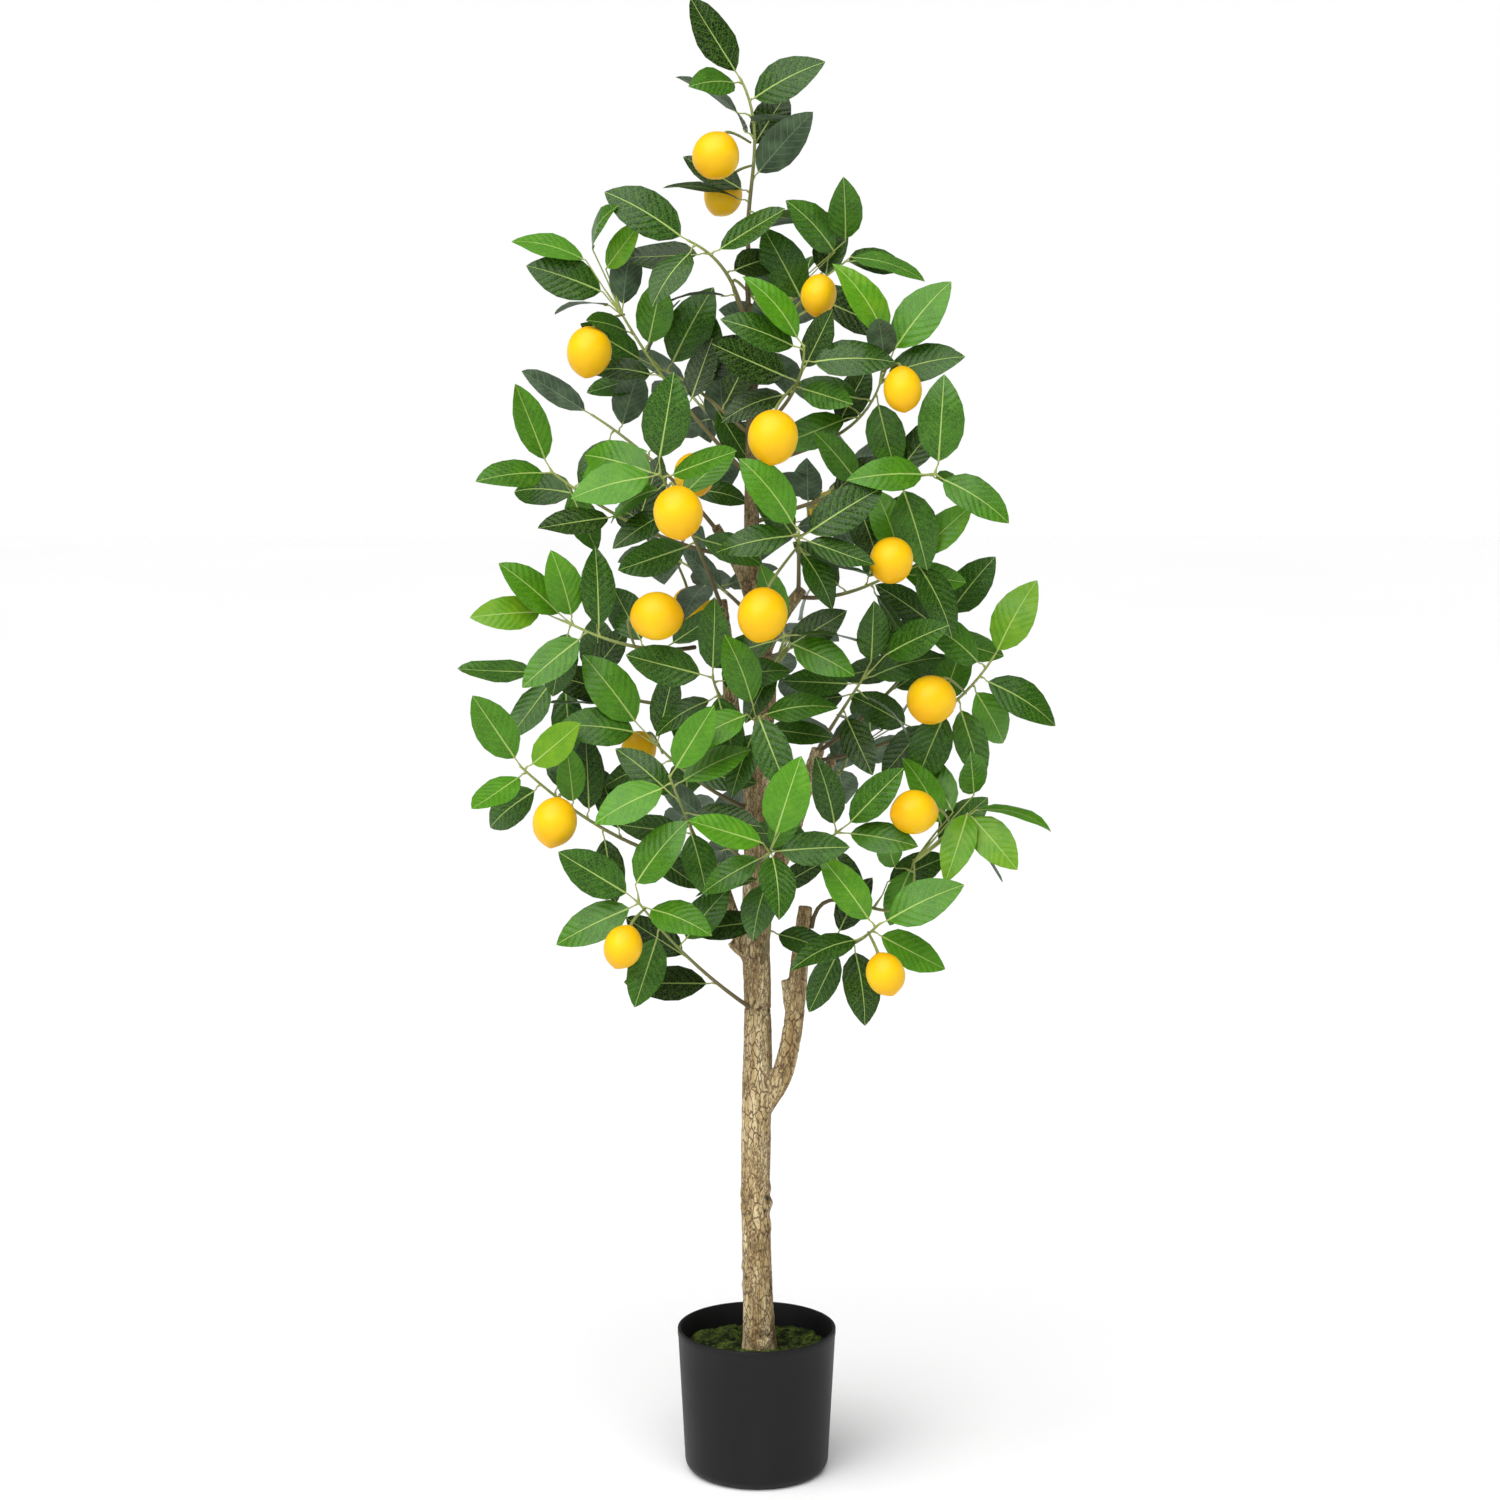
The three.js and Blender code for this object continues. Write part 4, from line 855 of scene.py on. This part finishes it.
def hangLemon(name, fruitModel, calyxModel):
    seen = readLemon(nodes[name])
    axis, centre, height, width = seen["axis"], seen["centre"], seen["height"], seen["width"]
    turn = axis.to_track_quat("Z", "X").to_matrix().to_4x4()
    spin = Matrix.Rotation(draw.uniform(0, 2 * pi), 4, "Z")
    fruit = bpy.data.objects.new(name + "_fruit", fruitModel.data.copy())
    bpy.context.scene.collection.objects.link(fruit)
    seed = Vector((draw.uniform(0, 90), 0, 0))
    for v in fruit.data.vertices:
        v.co += v.co.normalized() * noise.noise(v.co * 2.2 + seed) * lemonLook["swell"]
    # painted shade: deeper orange towards both ends of the fruit, palest round its middle, where the light
    # falls on its sides
    setTone(fruit, "paintedEndShade", [max(0.0, min(1.0, 0.62 - abs(v.co.z) * 0.9)) for v in fruit.data.vertices])
    scale = Matrix.Diagonal((width, width, height, 1))
    fruit.data.transform(Matrix.Translation(centre) @ turn @ spin @ scale)
    fruit.data.materials.append(peel)
    top = centre + axis * height * 0.45
    calyx = bpy.data.objects.new(name + "_calyx", calyxModel.data.copy())
    bpy.context.scene.collection.objects.link(calyx)
    calyx.data.transform(Matrix.Translation(top) @ turn @ Matrix.Scale(lemonLook["calyx"] * mm, 4))
    calyx.data.materials.append(twigBark)
    bend = top + axis * lemonLook["bend"] * mm
    hold = seen["end"] + (seen["end"] - bend).normalized() * lemonLook["into"] * mm
    stalk = []
    for k in range(10):
        t = k / 9
        place = top * (1 - t) ** 2 + bend * 2 * t * (1 - t) + hold * t * t
        stalk.append((*place, lemonLook["stalk"] * (1.15 - 0.35 * t) * mm))
    stem = tubeMesh(name + "_stalk", [stalk], 2)
    stem.data.materials.append(twigBark)
    for piece in (calyx, stem):
        setTone(piece, "youth", [0.6] * len(piece.data.vertices))
    piece = joinUnder(name + "_fruit", [fruit, calyx, stem])
    placePiece(piece, "lemon_peel", name)


fruitModel, calyxModel = makeFruit(lemonLook), makeCalyx()
lemonNames = sorted(n for n in nodes if n.startswith("lemon_"))
for lemonName in lemonNames:
    hangLemon(lemonName, fruitModel, calyxModel)
bpy.data.objects.remove(fruitModel)
bpy.data.objects.remove(calyxModel)
print("lemons hung:", len(lemonNames))


# Pot: a lathed shell, in millimetres

potSizes = {"height": 152, "rim": 82.5, "neck": 82.0, "foot": 75, "wall": 3, "edge": 12, "lip": 7,
            "floorTop": 3}


def potWall(z):
    sizes = potSizes
    span = sizes["height"] - sizes["lip"] - sizes["edge"]
    return sizes["foot"] + (sizes["neck"] - sizes["foot"]) * (z - sizes["edge"]) / span


def raiseRing(radius, z, last):
    # extrudes the selected ring, then gives it its own radius and height
    bpy.ops.mesh.extrude_region_move()
    share = radius / last[0]
    bpy.ops.transform.resize(value=(share, share, 1))
    bpy.ops.transform.translate(value=(0, 0, (z - last[1]) * mm))
    return radius, z


def makePot(sizes):
    startClean()
    foot = sizes["foot"] - sizes["edge"]
    bpy.ops.mesh.primitive_circle_add(vertices=128, radius=foot * 0.96 * mm, fill_type="TRIFAN",
                                      location=(0, 0, 0.8 * mm))
    pot = bpy.context.object
    pot.name = "nursery_pot"
    bpy.ops.object.transform_apply(location=True, rotation=True, scale=True)
    bpy.ops.object.mode_set(mode="EDIT")
    bpy.ops.mesh.flip_normals()
    bpy.ops.mesh.select_mode(type="EDGE")
    bpy.ops.mesh.select_all(action="SELECT")
    bpy.ops.mesh.region_to_loop()
    last = (foot * 0.96, 0.8)
    last = raiseRing(foot, 0.0, last)
    for k in range(1, 9):
        angle = radians(90 * k / 8)
        last = raiseRing(foot + sizes["edge"] * sin(angle), sizes["edge"] * (1 - cos(angle)), last)
    top = sizes["height"] - sizes["lip"]
    for z in (45, 80, 115, top - 1.2):
        last = raiseRing(potWall(z), z, last)
    for radius, z in ((sizes["rim"] - 0.2, top), (sizes["rim"], top + 0.8),
                      (sizes["rim"], sizes["height"] - 1),
                      (sizes["rim"] - 0.4, sizes["height"] - 0.3), (sizes["rim"] - 1.2, sizes["height"]),
                      (sizes["rim"] - 2.2, sizes["height"]), (sizes["rim"] - 3, sizes["height"] - 0.4),
                      (sizes["rim"] - 3.3, sizes["height"] - 1.2)):
        last = raiseRing(radius, z, last)
    for z in (130, 90, 50, sizes["edge"] + 1):
        last = raiseRing(potWall(z) - sizes["wall"], z, last)
    last = raiseRing(foot, sizes["floorTop"], last)
    bpy.ops.mesh.fill()
    bpy.ops.mesh.select_all(action="SELECT")
    bpy.ops.mesh.normals_make_consistent(inside=False)
    bpy.ops.object.mode_set(mode="OBJECT")
    pot.data.materials.append(potPlastic)
    smooth(pot, 35)
    return pot


placePiece(makePot(potSizes), "pot_plastic", "pot")
print("pot made")


# Moss: a lumpy sheet over the potting soil, with sprigs standing in it

mossSizes = {
    "radius": 77.4, "top": 131.5, "grid": 110, "lumps": 4.2,
    "sprigs": 900, "clear": 20.5, "edge": 74.5, "shortest": 1.8, "tallest": 4.0,
}


def mossHeight(x, y):
    place = Vector((x, y, 0)) / mm
    away = place.length / mossSizes["radius"]
    lumps = noise.noise(place / 17) * 1.0 + noise.noise(place / 7) * 0.55 + noise.noise(place / 3) * 0.25
    return (mossSizes["top"] + lumps * mossSizes["lumps"] - 3 * away ** 3) * mm


def makeMoss(sizes):
    startClean()
    cells = sizes["grid"]
    bpy.ops.mesh.primitive_grid_add(x_subdivisions=cells, y_subdivisions=cells, size=156 * mm)
    bed = bpy.context.object
    bed.name = "moss_bed"
    bpy.ops.object.mode_set(mode="EDIT")
    pickPoints(lambda c: c.length > sizes["radius"] * mm)
    bpy.ops.mesh.delete(type="VERT")
    bpy.ops.object.mode_set(mode="OBJECT")
    for v in bed.data.vertices:
        v.co.z = mossHeight(v.co.x, v.co.y)
    bed.data.materials.append(moss)
    # painted shade: the bed is darkest where it lies low and olive where it rises, partly the moss's own
    # darker base
    setTone(bed, "tip", [max(0.0, (v.co.z / mm - mossSizes["top"]) * 0.08) for v in bed.data.vertices])
    depth = bed.modifiers.new("depth", "SOLIDIFY")
    depth.thickness = 3 * mm
    depth.offset = -1
    applyModifiers(bed)
    return bed


def makeSprig(number):
    # five three-sided spikes leaning out from one foot
    startClean()
    spikes = []
    for k in range(5):
        bpy.ops.mesh.primitive_cone_add(vertices=3, radius1=0.14, radius2=0.03, depth=1.0,
                                        location=(0, 0, 0.5))
        spike = bpy.context.object
        bpy.ops.object.transform_apply(location=True, rotation=True, scale=True)
        lean = Matrix.Rotation(radians(20 + 9 * k), 4, "Y") @ Matrix.Scale(0.7 + 0.08 * k, 4)
        spike.data.transform(Matrix.Rotation(2 * pi * k / 5 + number, 4, "Z") @ lean)
        spikes.append(spike)
    sprig = joinUnder("sprigShape%d" % number, spikes)
    sprig.data.materials.append(moss)
    # painted shade: each sprig is darkest at its foot in the moss and olive at its end, partly the moss's
    # own darker base
    setTone(sprig, "tip", [max(0.0, v.co.z) for v in sprig.data.vertices])
    return sprig


def plantMoss(sizes):
    bed = makeMoss(sizes)
    sprigs = [makeSprig(i) for i in range(3)]
    planted = []
    while len(planted) < sizes["sprigs"]:
        x, y = draw.uniform(-75, 75) * mm, draw.uniform(-75, 75) * mm
        away = (x * x + y * y) ** 0.5 / mm
        if away > sizes["edge"] or away < sizes["clear"]:
            continue
        model = sprigs[draw.randrange(3)]
        sprig = bpy.data.objects.new("sprig", model.data.copy())
        bpy.context.scene.collection.objects.link(sprig)
        tall = draw.uniform(sizes["shortest"], sizes["tallest"]) * mm
        sprig.data.transform(Matrix.Translation((x, y, mossHeight(x, y) - 0.6 * mm))
                             @ Matrix.Rotation(draw.uniform(0, 6.28), 4, "Z")
                             @ Matrix.Rotation(draw.uniform(-0.5, 0.5), 4, "X") @ Matrix.Scale(tall, 4))
        planted.append(sprig)
    bed = joinUnder("moss_bed", [bed] + planted)
    for sprig in sprigs:
        bpy.data.objects.remove(sprig)
    smooth(bed, 60)
    return bed


placePiece(plantMoss(mossSizes), "moss", "moss")
fill = nodes["potting_fill"]
fill.data.materials.clear()
fill.data.materials.append(soil)
print("moss planted")


# Stage: a plain pale floor, soft light and a bright plain surround

stageLook = {"floor": "#FAFAFA", "walls": 1.0, "ceiling": 0.12, "sun": 3.75, "sunWidth": 75,
             "sunTurn": (28, -14, 0)}
lights = [
    # place and size in metres, watts: a large light at the front left, a fill at the right, one overhead
    ((-1.9, -2.6, 2.6), 2.0, 22), ((2.4, -2.0, 1.7), 2.0, 6), ((0.2, 0.6, 3.2), 2.4, 4),
]


def setStage(look):
    startClean()
    bpy.ops.mesh.primitive_plane_add(size=30)
    floor = bpy.context.object
    floor.name = "floor"
    material, tree, shader = newMaterial("paleStudioFloor", {"Roughness": 0.5})
    place = addNode(tree, "TexCoord")
    drift = addNode(tree, "TexNoise", {"Scale": 0.6}, {"Vector": place.outputs["Object"]})
    colour = addNode(tree, "ValToRGB", links={0: drift.outputs[0]}, stops=[
        (0.3, look["floor"]), (0.7, "#FCFCFC")])
    tree.links.new(colour.outputs[0], shader.inputs["Base Color"])
    floor.data.materials.append(material)
    world = bpy.data.worlds.new("surround")
    world.use_nodes = True
    # white walls round the horizon under a dim ceiling, so that glossy leaves keep their colour
    toward = addNode(world.node_tree, "TexCoord")
    height = addNode(world.node_tree, "SeparateXYZ", links={0: toward.outputs["Generated"]})
    level = addNode(world.node_tree, "MapRange", {
        "interpolation_type": "SMOOTHSTEP", 1: 0.1, 2: 0.3, 3: look["walls"], 4: look["ceiling"]},
        {0: height.outputs[2]})
    world.node_tree.links.new(level.outputs[0], world.node_tree.nodes["Background"].inputs["Strength"])
    world.node_tree.nodes["Background"].inputs["Color"].default_value = (1, 1, 1, 1)
    bpy.context.scene.world = world
    bpy.ops.object.light_add(type="SUN", rotation=[radians(a) for a in look["sunTurn"]])
    sun = bpy.context.object.data
    sun.energy = look["sun"]
    sun.angle = radians(look["sunWidth"])
    for place, size, watts in lights:
        bpy.ops.object.light_add(type="AREA", location=place)
        lamp = bpy.context.object
        lamp.data.shape = "DISK"
        lamp.data.size = size
        lamp.data.energy = watts
        lamp.rotation_euler = (Vector(place) - Vector((0, 0, 0.8))).to_track_quat("Z", "Y").to_euler()


setStage(stageLook)
print("stage set")
